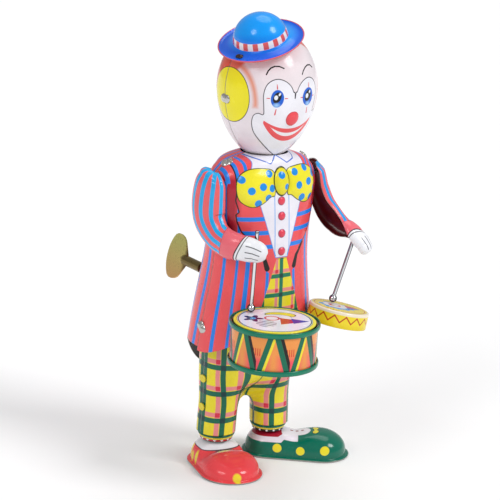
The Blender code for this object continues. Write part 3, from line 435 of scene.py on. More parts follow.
# Opaque inks on a white-primed sheet under clear varnish: flat bright colours with crisp edges, and
# a shallow sheen that breaks up along the drawn curves
front_print = printed_tin("varnished_coat_litho", "#f5565b", (
    ("arm_shadow", "#b31f33", None, 1.6),
    ("stripes", "#2286ee"),
    ("shirt", "#f3f1fb", None, 0.06),
    ("shirt", "#5b8fe0", 0.34),
    ("belly", "#f4e52c", None, 0.06),
    ("belly_pink", "#f0908a", None, 0.08),
    ("belly_crimson", "#dc3440", None, 0.08),
    ("belly_green", "#0a7d5b"),
    ("belly_dark", "#043f3c"),
    ("collar", "#3f6fd0", 0.5, 0.08),
    ("placket", "#4aa3f0", 0.42, 0.08),
    ("lapel", "#1a1016", 0.5, 0.08),
    ("commas", "#15100f"),
    ("loops", "#f7ec2f", None, 0.06),
    ("spots", "#1f93ea", None, 0.1),
    ("loops", "#3c4220", 0.42),
    ("knot", "#f1e62c", None, 0.06),
    ("knot_spots", "#1f93ea", None, 0.1),
    ("knot", "#3c4220", 0.5),
    ("buttons", "#e8485c"),
    ("buttons", "#8f4a76", 0.3),
))
stamped("coat_front_litho", coat_front, (front_print, coat_lining, cut_edge), (0, -3, 110), "body",
        "coat_front", fields={
            "arm_shadow": arm_shadow,
            "stripes": near(skirt_stripes, vest_stripes, shoulder_stripes),
            "shirt": shirt,
            "belly": belly,
            "belly_pink": within(near(pink_down, pink_across), belly),
            "belly_crimson": within(pink_down, pink_across, belly),
            "belly_green": within(near(check_down, check_across), belly),
            "belly_dark": within(check_down, check_across, belly),
            "collar": collar,
            "placket": np.where((cz > 113.5) & (cz < 148.0),
                                within(np.abs(cx - 0.3) - 4.2, shirt + 0.3), 9.0),
            "lapel": np.where(cz > 116.0, vest, 9.0),
            "commas": commas,
            "loops": loops,
            "spots": within(spots, loops),
            "knot": knot,
            "knot_spots": knot_spots,
            "buttons": near(*buttons)})

coat_back = coat_half(False, 180, 140)
back_girth = along_rows(coat_back)
back_flat = (back_girth / back_girth[:, -1:] - 0.5) * BLANK
# Same sheet and inks as the front, with the stripes run straight down
back_print = printed_tin("varnished_coat_litho_back", "#f5565b", (("stripes", "#2286ee"),))
stamped("coat_back_litho", coat_back, (back_print, coat_lining, cut_edge), (0, -3, 110), "body",
        "coat_back", fields={"stripes": wrap(np.abs(back_flat) - 42.5, 9.4) - 1.2})

# ------------------------------------------------------------------------------ trousers
# A front and a back stamping, each with both legs, printed with a yellow plaid and clinched down
# the outer seams by painted tabs. The plaid was printed flat, so it bends with the drawn legs.
LEG_X, LEG_SPLAY, LEG_R = 15.6, 0.7, 9.6
LEG_BOTTOM, CROTCH, HIP, TROUSER_TOP = 17.1, 33.0, 50.0, 74.0
HIP_WIDTH, HIP_DEPTH = 25.4, 15.0


def smoothstep(v):
    """0 below 0, 1 above 1, and three v squared less two v cubed between them."""
    v = np.clip(v, 0.0, 1.0)
    return v * v * (3 - 2 * v)


def trouser_leg(front, sx, rows, columns):
    """Half of one leg. u runs from the outer seam to the inner edge. The leg is a half circle about
    its middle line, the hip half an ellipse about X = 0, and smoothstep blends them. The inner
    edge is pulled by the 12th power of u to an arch, a quarter ellipse rising into the crotch."""
    z = np.linspace(LEG_BOTTOM, TROUSER_TOP, rows)[:, None]
    u = np.linspace(0.0, 1.0, columns)[None, :]
    arch = np.sqrt(np.clip(1 - np.clip((z - 23.0) / (CROTCH - 23.0), 0, 1) ** 2, 0, 1))
    middle = LEG_X + LEG_SPLAY * (CROTCH - z) / (CROTCH - LEG_BOTTOM)
    middle = np.where(z < CROTCH, middle, LEG_X)
    inner = (middle - LEG_R) * np.where(z < CROTCH, arch, 0.0)
    hip = smoothstep((z - CROTCH) / (HIP - CROTCH))
    x = ((middle + LEG_R * np.cos(math.pi * u) - (middle - LEG_R - inner) * u**12) * (1 - hip)
         + HIP_WIDTH * np.cos(math.pi / 2 * u) * hip)
    y = (LEG_R * np.sin(math.pi * u) ** 0.85 * (1 - hip) + HIP_DEPTH * np.sin(math.pi / 2 * u) ** 0.75 * hip
         + TIN * u**4 * smoothstep((z - 28.0) / 5.0))
    side = -1.0 if front else 1.0
    across = sx * 35.0 * (1 - u) + 0 * z
    return np.stack([sx * x, side * (SEAM_GAP / 2 + y), z + 0 * x], -1), across


# Four transparent inks laid over one another: each crossing prints darker than its two bands
plaid_print = printed_tin("varnished_plaid_litho", "#f3e32a", (
    ("pink", "#f0918f", None, 0.09), ("crimson", "#dd2b4a", None, 0.09),
    ("green", "#00694d", None, 0.08), ("crossing", "#033b3d", None, 0.08)))
LEG_COLUMNS = 110
PLAID_ACROSS, PLAID_UP = 13.4, 14.3        # pitch of the plaid, mm
for half, is_front in (("front", True), ("back", False)):
    right, right_across = trouser_leg(is_front, -1.0, 170, LEG_COLUMNS)
    left, left_across = trouser_leg(is_front, 1.0, 170, LEG_COLUMNS)
    # one grid: right outer seam, crotch line, left outer seam, so both legs are one sheet
    legs = np.concatenate([right, left[:, ::-1]], axis=1)
    across = np.concatenate([right_across, left_across[:, ::-1]], axis=1)
    z = legs[..., 2]
    shift = np.where(across < 0, 20.9, -12.25)
    green_v = wrap(across + shift, PLAID_ACROSS) - 1.65
    green_h = wrap(z - 25.1, PLAID_UP) - 1.35
    pink_v = wrap(across + shift + 3.5, PLAID_ACROSS) - 1.5
    pink_h = wrap(z - 28.1, PLAID_UP) - 1.2
    # the column of quads between the two inner edges exists only above the arch
    apart = legs[:, LEG_COLUMNS, 0] - legs[:, LEG_COLUMNS - 1, 0]
    keep = np.ones((legs.shape[0] - 1, legs.shape[1] - 1), bool)
    above_arch = (z[:-1, 0] + z[1:, 0]) / 2 >= CROTCH
    keep[:, LEG_COLUMNS - 1] = above_arch | (np.maximum(apart[:-1], apart[1:]) < 0.55)
    stamped("trousers_%s_litho" % half, legs, (plaid_print, tinplate_inside, cut_edge), (0, 0, 50), "body",
            "trousers_" + half, keep=keep, fields={
                "pink": near(pink_v, pink_h), "crimson": within(pink_v, pink_h),
                "green": near(green_v, green_h), "crossing": within(green_v, green_h)})

# ------------------------------------------------------------------------------ head
# A face stamping and a back stamping that meet along the ears, printed white with a clown's
# make-up. Only the ball nose is embossed; the ears' tabs clinch the halves together.
HEAD_Y, HEAD_Z, HEAD_R, HEAD_DOWN, HEAD_UP = -6.0, 195.0, 24.6, 36.5, 28.5


def head_radius(z):
    """Egg profile: an ellipse above the widest level; below it the 0.55 power of one less the
    1.9 power of the depth."""
    up = np.clip((z - HEAD_Z) / HEAD_UP, 0.0, 1.0)
    down = np.clip((HEAD_Z - z) / HEAD_DOWN, 0.0, 1.0)
    return HEAD_R * np.where(z >= HEAD_Z, np.sqrt(1 - up**2), (1 - down**1.9) ** 0.55)


def head_half(front, columns, levels):
    """Half of the egg as a grid; the front has more of its columns near the middle of the face."""
    level = np.linspace(0.0, 1.0, levels)
    z = HEAD_Z - np.cos(level * math.pi) * np.where(level < 0.5, HEAD_DOWN, HEAD_UP)
    radius = np.maximum(head_radius(z), np.where(level < 0.5, 3.4, 0.05))
    t = np.linspace(-1.0, 1.0, columns)
    angle = (math.pi / 2 * (1 + 0.75 * t + 0.25 * t**3))[None, :]
    side = -1.0 if front else 1.0
    x = -radius[:, None] * np.cos(angle)
    y = HEAD_Y + side * (SEAM_GAP / 2 + radius[:, None] * np.sin(angle))
    grid = np.stack([x, y, z[:, None] + 0 * x], -1)
    return grid, radius[:, None] * (angle - math.pi / 2), radius[:, None] * np.minimum(angle, math.pi - angle)


face, fs, from_seam = head_half(True, 230, 196)
fz = face[..., 2]
fs = fs + 0.7                      # the make-up sits a little to the clown's right
patch = inside(fs, fz, mirrored(rounded_outline([
    (-0.1, 193.2), (-1.0, 196.4), (-2.4, 199.3), (-5.0, 201.6), (-8.6, 202.7), (-12.2, 201.7), (-14.9, 199.0),
    (-16.0, 194.6), (-15.4, 189.5), (-14.9, 185.3), (-17.4, 185.8), (-19.4, 184.8), (-19.9, 182.4),
    (-19.3, 179.4), (-17.2, 175.6), (-12.6, 171.2), (-6.2, 166.2), (-1.6, 163.2), (0.0, 162.6)], 4)[:-3]))
eye_x = np.where(fs < 0, -9.2 - fs, fs - 8.5)
iris = near(ellipse(fs, fz, (-9.2, 193.4), 3.25, 4.3), ellipse(fs, fz, (8.5, 193.6), 3.9, 4.4))
pupil = near(ellipse(fs, fz, (-9.3, 193.9), 1.9, 2.8, -24.0),
             ellipse(fs, fz, (8.4, 194.1), 2.2, 2.9, -24.0))
glints = near(ellipse(fs, fz, (-9.9, 193.9), 0.95, 1.15), ellipse(fs, fz, (7.7, 194.0), 1.05, 1.2),
              ellipse(fs, fz, (-8.2, 195.5), 0.5, 0.8, -30.0), ellipse(fs, fz, (9.6, 195.8), 0.6, 0.8, -30.0))
lower_light = ellipse(eye_x, fz, (0.2, 190.2), 1.4, 0.9)
ticks = near(tapered_stroke(eye_x, fz, (0.2, 198.2), (0.3, 200.2), 0.62, 0.35),
             tapered_stroke(np.abs(eye_x), fz, (3.9, 193.5), (5.2, 193.5), 0.6, 0.4),
             tapered_stroke(eye_x, fz, (0.1, 188.2), (0.3, 185.5), 0.45, 0.75))
nose = np.hypot(fs - 0.2, (fz - 183.2) * 0.97) - 3.45
share = fs / 14.6                  # 1 at the corners of the mouth
smile = within(fz - (178.0 + 4.6 * share**2), (171.2 + 10.2 * share**2) - fz, np.abs(fs) - 14.2) * 0.85
teeth = within(fz - (175.7 + 3.6 * (fs / 10.4) ** 2), (173.9 + 5.3 * (fs / 10.4) ** 2) - fz) * 0.85
brow_right = [(-14.3, 204.6), (-13.2, 206.3), (-11.6, 207.7), (-9.6, 208.5), (-7.4, 208.5), (-5.2, 207.6)]
brow_left = [(4.6, 204.4), (5.6, 206.0), (7.3, 207.4), (9.4, 208.2), (11.8, 208.0), (14.0, 206.6)]
brows = near(*[tapered_stroke(fs, fz, a, b, 0.62, 0.62) for line in (brow_right, brow_left)
               for a, b in zip(line, line[1:])])
ear = ellipse(from_seam, fz, (1.9, 192.6), 13.1, 13.2)
strand = within(np.abs(ear - 2.9 + 0.05 * (fz - 195.0)) - 1.1, 188.5 - fz)
hair_edge = within(from_seam - 4.5 - 0.7 * (fz - 203.0), 200.0 - fz)
blush = ellipse(fs, fz, (0.0, 205.0), 15.0, 9.0)

# The nose is a ball of 3.4 mm radius standing 1.3 mm proud
ball = 1.3 * np.sqrt(np.clip(1 - (np.clip(nose + 3.45, 0, 9) / 3.4) ** 2, 0, 1))
face = face + outward_normals(face, (0, -6, 195)) * ball[..., None]
# Glossy varnish over a faint pink white: porcelain-like, with soft round lights on the cheeks
face_print = printed_tin("varnished_face_litho", "#f1e7ec", (
    ("blush", "#f3e8ec", None, 5.0),
    ("strand", "#f0a28c", None, 0.9),
    ("hair_edge", "#e9705c", None, 1.0),
    ("ear", "#fbee21", None, 0.06),
    ("ear", "#4a4226", 0.36, 0.06),
    ("patch", "#f6f5fc", None, 0.1),
    ("patch", "#2f2d38", 0.4),
    ("brows", "#101014", None, 0.06),
    ("ticks", "#e0525a"),
    ("iris", "#1a63d6", None, 0.08),
    ("pupil", "#05060c"),
    ("lower_light", "#9fd0fb", None, 0.6),
    ("glints", "#f7f9ff", None, 0.1),
    ("smile", "#f2565a", None, 0.08),
    ("teeth", "#f9f6fa", None, 0.08),
    ("nose", "#f0525a", None, 0.08),
    ("nose", "#c94a52", 0.25),
), roughness=0.16)
stamped("head_front_litho", face, (face_print, tinplate_inside, cut_edge), (0, -6, 195), "head",
        "head_front", fields={"blush": blush, "strand": strand, "hair_edge": hair_edge, "ear": ear,
                                 "patch": patch, "brows": brows, "ticks": ticks, "iris": iris,
                                 "pupil": pupil, "lower_light": lower_light, "glints": glints,
                                 "smile": smile, "teeth": teeth, "nose": nose})

nape, _, nape_seam = head_half(False, 120, 120)
nz = nape[..., 2]
waves = 1.3 * np.sin(nape[..., 0] * 0.9) + 0.7 * np.sin(nape[..., 0] * 2.1 + 1.0)
back_ear = ellipse(nape_seam, nz, (-1.9, 192.6), 13.1, 13.2)
hair = 202.0 - 24.0 * smoothstep((nape_seam - 3.0) / 24.0) + waves - nz
locks = wrap(nape[..., 0] + 1.2 * np.sin(nz * 0.35), 3.4) - 0.28
# The same varnished white, with two reds for the hair and its drawn locks
nape_print = printed_tin("varnished_nape_litho", "#f1e7ec", (
    ("hair", "#e2563f", None, 0.3), ("locks", "#a92a22", None, 0.25), ("hair", "#7a1d18", 0.4, 0.1),
    ("ear", "#fbee21", None, 0.06), ("ear", "#4a4226", 0.36, 0.06)), roughness=0.16)
stamped("head_back_litho", nape, (nape_print, tinplate_inside, cut_edge), (0, -6, 195), "head",
        "head_back", fields={"hair": hair, "locks": within(locks, hair + 1.0), "ear": back_ear})

# ------------------------------------------------------------------------------ hat
# A small bowler drawn from one blank: crown and brim printed blue, a red and white band, and the
# edge of the brim turned down so that its red underside shows.
HAT = np.array([-8.1, -10.0, 219.1])
HAT_AXIS = np.array([-0.375, -0.15, 1.0]) / math.sqrt(0.375**2 + 0.15**2 + 1.0)
CROWN_R, CROWN_H, BRIM_R = 13.4, 12.9, 20.8


def turned_about(profile, at, axis, around):
    """Surface of revolution: profile is (radius, height); the angle runs round the axis."""
    axis = np.asarray(axis, float)
    turn = np.array(Vector((0, 0, 1)).rotation_difference(Vector(axis)).to_matrix())
    angle = np.linspace(0.0, math.tau, around, endpoint=False)
    r, h = np.asarray(profile, float)[:, :1], np.asarray(profile, float)[:, 1:]
    local = np.stack([r * np.cos(angle), r * np.sin(angle), h + 0 * angle], -1)
    return local @ turn.T + np.asarray(at, float), angle + 0 * r, r + 0 * angle, h + 0 * angle


dome = np.linspace(0.002, math.pi / 2 - 0.1, 44)
hat_profile = np.concatenate([
    np.stack([CROWN_R * np.sin(dome), CROWN_H * np.cos(dome)], -1),
    smooth_table([(0.0, 13.33, 1.1), (0.12, 13.6, 0.25), (0.22, 14.2, -0.25), (0.45, 16.4, -1.0),
                  (0.85, 19.8, -1.2), (0.95, 20.5, -0.9), (1.0, 20.8, -0.5)], np.linspace(0, 1, 34))])
hat_grid, hat_angle, hat_r, hat_h = turned_about(hat_profile, HAT, HAT_AXIS, 224)
ribbon = within(np.abs(hat_h - 2.3) - 1.75, 12.6 - hat_r)
# Two blues over bright tin: the crown glows lighter than the brim, and both shine like enamel
hat_print = printed_tin("varnished_hat_litho", "#0a9cfa", (
    ("brim", "#0a63e6", None, 2.2),
    ("ribbon", "#f8f2f2"),
    ("ribbon_red", "#e85a5c", None, 0.08),
    ("rim", "#e4545f", None, 0.08)), roughness=0.14)
hat_under = printed_tin("varnished_hat_underside", "#e4616c", roughness=0.25)
stamped("hat_litho", hat_grid, (hat_print, hat_under, hat_under), HAT, "head", "hat",
        closed=True, wall=0.45, fields={
            "brim": 15.5 - hat_r + 3.0 * np.cos(hat_angle - 0.6), "ribbon": ribbon,
            "ribbon_red": within(wrap(hat_angle * CROWN_R, CROWN_R * math.tau / 16) - 1.3, ribbon),
            "rim": BRIM_R - 0.2 - hat_r})

# ------------------------------------------------------------------------------ shoes
# Each shoe is a deep-drawn shell with a turned-out flange crimped to a flat sole plate. The right
# one is red and the left one green, and both have big yellow spots.
SHOES = {"right": (-16.0, -8.0, 12.6, 14.4, 18.5, 11.0), "left": (16.0, 54.0, 11.2, 13.0, 28.0, 12.6)}
FLANGE, SHOE_BASE = 1.7, 1.3     # above: ankle x, heading, heel and toe radius, reach, toe height


def shoe_surface(ankle, heading, heel_r, toe_r, reach, toe_h, around=176, levels=84):
    """Rings shrink from a stadium outline (heel circle to toe circle) onto the ankle-toe line by
    the 0.8 power of a cosine while they rise by the 0.75 power of its sine; the flange is the
    first ring. Returns the grid and its (along, across, height) in the shoe's own frame."""
    t = np.linspace(0.0, 4.0, around, endpoint=False)
    heel, toe = math.pi / 2 + math.pi * t, -math.pi / 2 + math.pi * (t - 2.0)
    parts = [(t < 1, 0.0, heel_r, heel), ((t >= 2) & (t < 3), reach, toe_r, toe)]
    spine = np.zeros(around)
    ring = np.zeros((around, 2))
    for chosen, at, radius, turn in parts:
        spine[chosen] = at
        ring[chosen] = np.stack([np.cos(turn), np.sin(turn)], -1)[chosen] * radius
    for chosen, u, side in (((t >= 1) & (t < 2), t - 1.0, -1.0), (t >= 3, 4.0 - t, 1.0)):
        spine[chosen] = (reach * u)[chosen]
        ring[chosen] = np.stack([0 * u, side * (heel_r + (toe_r - heel_r) * u)], -1)[chosen]
    a = np.concatenate([[0.0, 0.0, 0.0], np.linspace(0.0, math.pi / 2, levels)])[:, None]
    grow = np.concatenate([[FLANGE, FLANGE * 0.62, FLANGE * 0.2], np.zeros(levels)])[:, None]
    foot = np.concatenate([[-0.35, -0.02, 0.0], np.zeros(levels)])[:, None]
    shrink = np.cos(a) ** 0.8
    lift = np.sin(a) ** 0.75
    unit = ring / np.linalg.norm(ring, axis=1, keepdims=True)
    along = spine + ring[:, 0] * shrink + unit[:, 0] * grow
    across = ring[:, 1] * shrink + unit[:, 1] * grow
    top = smooth_table([(-0.45, 12.8), (0.15, 12.8), (0.3, 12.3), (0.52, toe_h - 1.6), (0.72, toe_h - 0.6),
                        (0.92, toe_h + 0.1), (1.07, toe_h - 0.1), (1.5, toe_h - 1.6)], along / reach)[..., 0]
    height = SHOE_BASE + foot + (top - SHOE_BASE) * lift
    h = math.radians(heading)
    ahead, aside = np.array([math.sin(h), -math.cos(h), 0.0]), np.array([math.cos(h), math.sin(h), 0.0])
    grid = np.array([ankle, 0.0, 0.0]) + along[..., None] * ahead + across[..., None] * aside
    grid[..., 2] = height
    return grid, along, across, height


for side, (ankle, heading, *size) in SHOES.items():
    grid, along, across, height = shoe_surface(ankle, heading, *size)
    inner = (ankle + 12 * math.sin(math.radians(heading)), -12 * math.cos(math.radians(heading)), 4.0)
    if side == "right":
        tongue = within(near(np.hypot(along, across) - 12.4, within(np.abs(across) - 7.6, along - 12.4)),
                        9.4 - height, along - 12.4)
        side_spots = [np.hypot(along - at, (height - up) * tall) - wide + np.where(across < 0, 0.0, 9.0)
                      for at, up, wide, tall in ((-4.0, 6.2, 1.5, 0.4), (-0.6, 4.0, 1.3, 0.5),
                                                 (4.2, 5.0, 1.5, 0.45))]
        spots = near(ellipse(along, across, (13.9, -2.2), 1.5, 3.2), *side_spots,
                     np.hypot(across + 3.1, (height - 3.0) * 0.9) - 2.1 + np.where(along > 26, 0.0, 9.0))
        marks = near(ellipse(along, across, (10.9, 5.0), 0.9, 1.3),
                     ellipse(along, across, (10.9, -4.6), 0.9, 0.7),
                     within(np.abs(along - 10.9) - 1.0, np.abs(np.abs(across) - 1.9) - 0.25))
        laces = within(np.abs(along - 10.9) - 0.8, np.abs(across) - 3.4)
        # Red enamel ink under stoving varnish: the wettest shine on the toy, with soft-edged spots
        shoe_print = printed_tin("varnished_red_shoe_litho", "#f24a50", (
            ("spots", "#f6dc34", None, 0.35), ("tongue", "#f4f1f6", None, 0.06),
            ("tongue", "#55404a", 0.35, 0.06), ("laces", "#b9b848", None, 0.12),
            ("marks", "#20251c", None, 0.1)), roughness=0.16)
        fields = {"spots": spots, "tongue": tongue, "marks": marks, "laces": laces}
    else:
        trim = within(near(np.hypot(along, across) - 12.6, within(np.abs(across) - 9.0, along - 16.0)),
                      8.3 - height)
        tongue = within(inside(along, across, rounded_outline([
            (8.0, 6.5), (14.0, 4.6), (20.0, 4.4), (22.4, 0.0), (20.0, -4.4), (14.0, -4.6), (8.0, -6.5)])),
            6.0 - height)
        opening = within(np.hypot(along, across) - 9.9, 10.6 - height)
        # the same three spots on either side
        spots = near(*[np.hypot(along - at, (height - up) * 1.05) - r
                       for at, up, r in ((5.5, 5.6, 2.3), (17.5, 4.9, 2.2), (30.0, 5.9, 2.4))])
        laces = near(*[ellipse(along, across, (at, 0.9), 0.85, 0.75) for at in (12.6, 15.4, 18.2)])
        bow_knot = near(ellipse(along, across, (25.0, 2.4), 1.5, 2.2, 20.0),
                        ellipse(along, across, (25.0, -2.4), 1.5, 2.2, -20.0),
                        np.hypot(along - 24.8, across) - 0.9)
        # Dark green ink under the same varnish: deep colour with one long light along the toe
        shoe_print = printed_tin("varnished_green_shoe_litho", "#04705a", (
            ("spots", "#f3e432", None, 0.1), ("trim", "#ece4f0", None, 0.08),
            ("opening", "#b01c34", None, 0.08), ("tongue", "#f1ecf3", None, 0.08),
            ("laces", "#8f2c2c", None, 0.1),
            ("bow_knot", "#e8dc3c", None, 0.08), ("bow_knot", "#2c3a18", 0.28)), roughness=0.16)
        fields = {"spots": spots, "trim": trim, "opening": opening, "tongue": tongue, "laces": laces,
                  "bow_knot": bow_knot}
    stamped("shoe_%s_litho" % side, grid, (shoe_print, tinplate_inside, cut_edge), inner, "body",
            "shoe_" + side, fields=fields,
            closed=True, wall=0.4)

# ------------------------------------------------------------------------------ ankle cuffs
# A rolled ring at the bottom of each leg: green roll, yellow bead, and a printed band below it,
# red with white bunting on the right leg and dark with white stars on the left.
for side, (ankle, *_) in SHOES.items():
    outer = smooth_table([(0.0, 6.4, 16.75), (0.2, 8.7, 16.8), (0.35, 9.35, 16.35), (0.45, 9.3, 15.75),
                          (0.52, 8.8, 15.35), (0.6, 8.95, 15.05), (0.68, 8.7, 14.6), (0.78, 8.45, 14.3),
                          (1.0, 8.3, 13.4)], np.linspace(0, 1, 56))
    ring_profile = np.concatenate([outer, [(6.4, 13.4)]])
    grid, angle, r, h = turned_about(ring_profile, (ankle, 0, 0), (0, 0, 1), 200)
    below = within(h - 14.45, 8.0 - r)
    rounds = wrap(angle * 8.4, 8.4 * math.tau / 14)
    if side == "right":
        flags = within(rounds * 1.2 - (h - 13.3) * 1.1 - 0.1, below, h - 14.3)
        bead_ink, band_ink = "#f3e03a", "#c7323c"
    else:
        flags = within(np.hypot(rounds, h - 13.9) - 0.55, below)
        bead_ink, band_ink = "#efe043", "#222a24"
    # Printed before it is rolled: tight bands of ink that catch a line of light round the bead
    cuff_print = printed_tin("varnished_cuff_litho_" + side, "#006b50", (
        ("bead", bead_ink), ("below", band_ink), ("flags", "#f4f0f2")))
    stamped("ankle_cuff_%s_litho" % side, grid, (cuff_print,), (ankle, 0, 15.0), "body",
            "ankle_cuff_" + side, closed=True, wall=0,
            fields={"bead": within(np.abs(h - 14.95) - 0.45, 8.0 - r), "below": below, "flags": flags})

# ------------------------------------------------------------------------------ arms
# Half-round stampings with a striped sleeve, a turned cuff and a white glove in one piece, open on
# the side towards the body and riveted to the wire shaft that the movement rocks.
# stations from shoulder to finger tips: x, y, z, half width, depth
ARM_PATHS = {
    "right": [(-29.6, -7.8, 155.6, 2.6, 1.6), (-29.8, -6.6, 151.0, 8.4, 5.2),
              (-29.6, -5.2, 141.0, 10.0, 6.6), (-29.0, -5.6, 131.5, 9.6, 6.8),
              (-28.2, -11.5, 124.6, 8.2, 6.4), (-27.0, -18.6, 121.8, 7.2, 6.0),
              (-24.6, -26.9, 121.2, 6.4, 5.2), (-20.6, -33.2, 120.6, 5.6, 4.8),
              (-17.0, -37.6, 118.8, 1.6, 1.4)],
    "left": [(29.6, -7.8, 155.6, 2.6, 1.6), (29.9, -7.2, 151.0, 8.4, 5.2), (31.0, -8.0, 141.0, 10.0, 6.6),
             (33.4, -11.6, 131.5, 9.6, 6.8), (36.6, -17.8, 124.6, 8.2, 6.4),
             (39.6, -23.6, 121.0, 7.2, 6.0), (42.2, -29.0, 118.8, 6.6, 5.2),
             (44.2, -33.2, 115.2, 5.2, 4.4), (45.0, -35.0, 111.6, 1.6, 1.4)]}


def arm_surface(side, stations, around):
    """Half tube along the arm: half width times the cosine across, depth times the 0.8 power of the
    sine outwards, both read from a smooth curve through the arm's stations. The left hand is
    twisted so that its back comes round to the front."""
    path = np.array(ARM_PATHS[side])
    s = np.linspace(0.0, len(path) - 1, stations)
    line = smooth_table(np.column_stack([np.arange(len(path)), path]), s)
    centre, half, depth = line[:, :3], line[:, 3:4], line[:, 4:5]
    # both ends close as rounded caps: a share of the wider station next to the end
    station = s[:, None]
    cap = np.sqrt(np.clip(1 - np.clip(station - 7.02, 0, 1) ** 2.2, 0, 1))
    if side == "right":
        cap = cap * np.sqrt(np.clip(1 - np.clip(0.98 - station, 0, 1) ** 2.2, 0, 1))
    else:
        cap = cap * (station > 1)
    at_end = (station > 7) | (station < 1)
    share = np.where(station > 7, 1.0, 0.92)
    widest = np.where(station > 7, path[7, 3], path[1, 3]) * share
    deepest = np.where(station > 7, path[7, 4], path[1, 4]) * share
    half = np.where(at_end, np.maximum(half, cap * widest), half)
    depth = np.where(at_end, np.maximum(depth, cap * deepest), depth)
    ahead = np.gradient(centre, axis=0)
    ahead /= np.linalg.norm(ahead, axis=1, keepdims=True)
    outward = np.tile([-1.0 if side == "right" else 1.0, -0.25, 0.0], (len(s), 1))
    if side == "left":
        twist = smoothstep((station - 3.6) / 3.2)
        outward = outward * (1 - twist) + np.array([0.35, -0.75, 0.55]) * twist
    outward -= (outward * ahead).sum(1, keepdims=True) * ahead
    outward /= np.linalg.norm(outward, axis=1, keepdims=True)
    across = np.cross(ahead, outward)
    angle = np.linspace(0.0, math.pi, around)
    grid = (centre[:, None] + half[:, None] * np.cos(angle)[None, :, None] * across[:, None]
            + depth[:, None] * (np.sin(angle) ** 0.8)[None, :, None] * outward[:, None])
    return grid, station + 0 * angle, angle / math.pi + 0 * station


# Thin red lacquer on the unprinted side: dark and half glossy where the arm is open
arm_inside = printed_tin("dark_red_lacquer", "#5c0d12", roughness=0.28)
for side, stripe_ink in (("right", "#22b0f0"), ("left", "#2f9fe8")):
    grid, station, part = arm_surface(side, 210, 104)
    elbow = np.array(ARM_PATHS[side])[3, :3]
    width = along_rows(grid)[:, -1:] + 0 * part
    cuff_start = station - 4.75 - 0.35 * np.sin(math.pi * part)
    glove_start = (station - 6.0 + 0.25 * np.cos(math.pi * part)) * 8.0
    sleeve = within(wrap(part - 0.1, 0.2) * width - 1.15, cuff_start * 9.0)
    fingers = near(*[within(np.abs((part - at) * width - 0.6 * (station - 7.0)) - 0.22,
                            np.abs(station - 7.0) * 8.0 - 4.2) for at in (0.34, 0.5, 0.66)])
    puff = 0.9 * np.sin(math.pi * np.clip((station - 4.85) / 1.15, 0, 1)) ** 0.7
    grid = grid + outward_normals(grid, elbow) * (puff * np.sin(math.pi * part) ** 0.5)[..., None]
    # The coat's inks drawn over a tight curve: stripes that narrow, and a bright line down the arm
    arm_print = printed_tin("varnished_sleeve_litho_" + side, "#f4666a", (
        ("sleeve", stripe_ink, None, 0.1),
        ("cuff", "#f2707c", None, 0.1),
        ("cuff", "#b23a4c", 0.3, 0.08),
        ("glove", "#f5f6fb", None, 0.08),
        ("glove", "#1c1c22", 0.45, 0.08),
        ("cuff_line", "#23242c", 0.4, 0.08),
        ("fingers", "#2b2d38", None, 0.08)))
    stamped("arm_%s_litho" % side, grid, (arm_print, arm_inside, cut_edge), elbow, side + "_arm",
            "arm_" + side, fields={
                "sleeve": sleeve, "cuff": -cuff_start * 9.0, "glove": -glove_start,
                "cuff_line": glove_start - 1.2, "fingers": fingers})

# ------------------------------------------------------------------------------ big drum
# A printed cylinder between two rolled hoops, with a white printed head. Its side carries green
# lacing, orange panels with red ticks, and yellow and black edge lines.
DRUM, DRUM_R, DRUM_H = np.array([-17.5, -47.6, 68.2]), 21.0, 21.2
shell_h = np.linspace(0.9, DRUM_H - 0.9, 52)
grid, angle, r, h = turned_about(np.stack([DRUM_R + 0 * shell_h, shell_h], -1), DRUM, (0, 0, 1), 400)
bay = math.tau * DRUM_R / 8
facing = math.radians(-125.0)              # one bay of the lacing faces the clown's right front
u = ((angle - facing) * DRUM_R + bay / 2) % bay - bay / 2
rise = (h - 2.2) / (DRUM_H - 4.4)
centre_line = bay * (0.40 - 0.305 * rise)
left_lace, right_lace = u + centre_line, u - centre_line
u_down = (u + bay) % bay - bay / 2
ticks = within(near(*[np.abs(u_down - at) - 0.24 for at in (-1.65, -0.55, 0.55, 1.65)]),
               np.abs(h - 11.4) - 1.9)
# Printed flat and rolled: straight crisp lacing, orange that deepens to red, sheen along the height
drum_print = printed_tin("varnished_drum_litho", "#f39a4c", (
    ("lower", "#f4525f", None, 2.2), ("ticks", "#d8302f"),
    ("black_edge", "#141413"), ("yellow_edge", "#f7e531"),
    ("laces", "#006b50")))
stamped("drum_shell_litho", grid, (drum_print, tinplate_inside, cut_edge), DRUM + (0, 0, 10), "body",
        "drum_shell", closed=True, fields={
            "lower": within(h - 9.0, bay * 0.5 - np.abs(u) - bay * 0.34),
            "ticks": ticks, "black_edge": np.abs(right_lace - 2.15) - 0.85,
            "yellow_edge": np.abs(left_lace - 1.95) - 0.7,
            "laces": near(np.abs(left_lace) - 1.35, np.abs(right_lace) - 1.35)})

head_r = DRUM_R - np.concatenate([np.linspace(DRUM_R - 0.01, 1.6, 90), [1.3, 1.05, 1.0, 1.0]])
head_h = DRUM_H + np.concatenate([np.full(90, 0.15), [0.12, 0.0, -0.15, -0.45]])
grid, angle, r, h = turned_about(np.stack([head_r, head_h], -1), DRUM, (0, 0, 1), 300)
turn = facing + math.pi / 2
px = (grid[..., 0] - DRUM[0]) * math.cos(turn) + (grid[..., 1] - DRUM[1]) * math.sin(turn)
py = -(grid[..., 0] - DRUM[0]) * math.sin(turn) + (grid[..., 1] - DRUM[1]) * math.cos(turn)
star_angle = np.arctan2(py - 1.0, px + 10.5)
star = np.hypot(px + 10.5, py - 1.0) - 3.9 - 1.3 * np.cos(5 * star_angle)
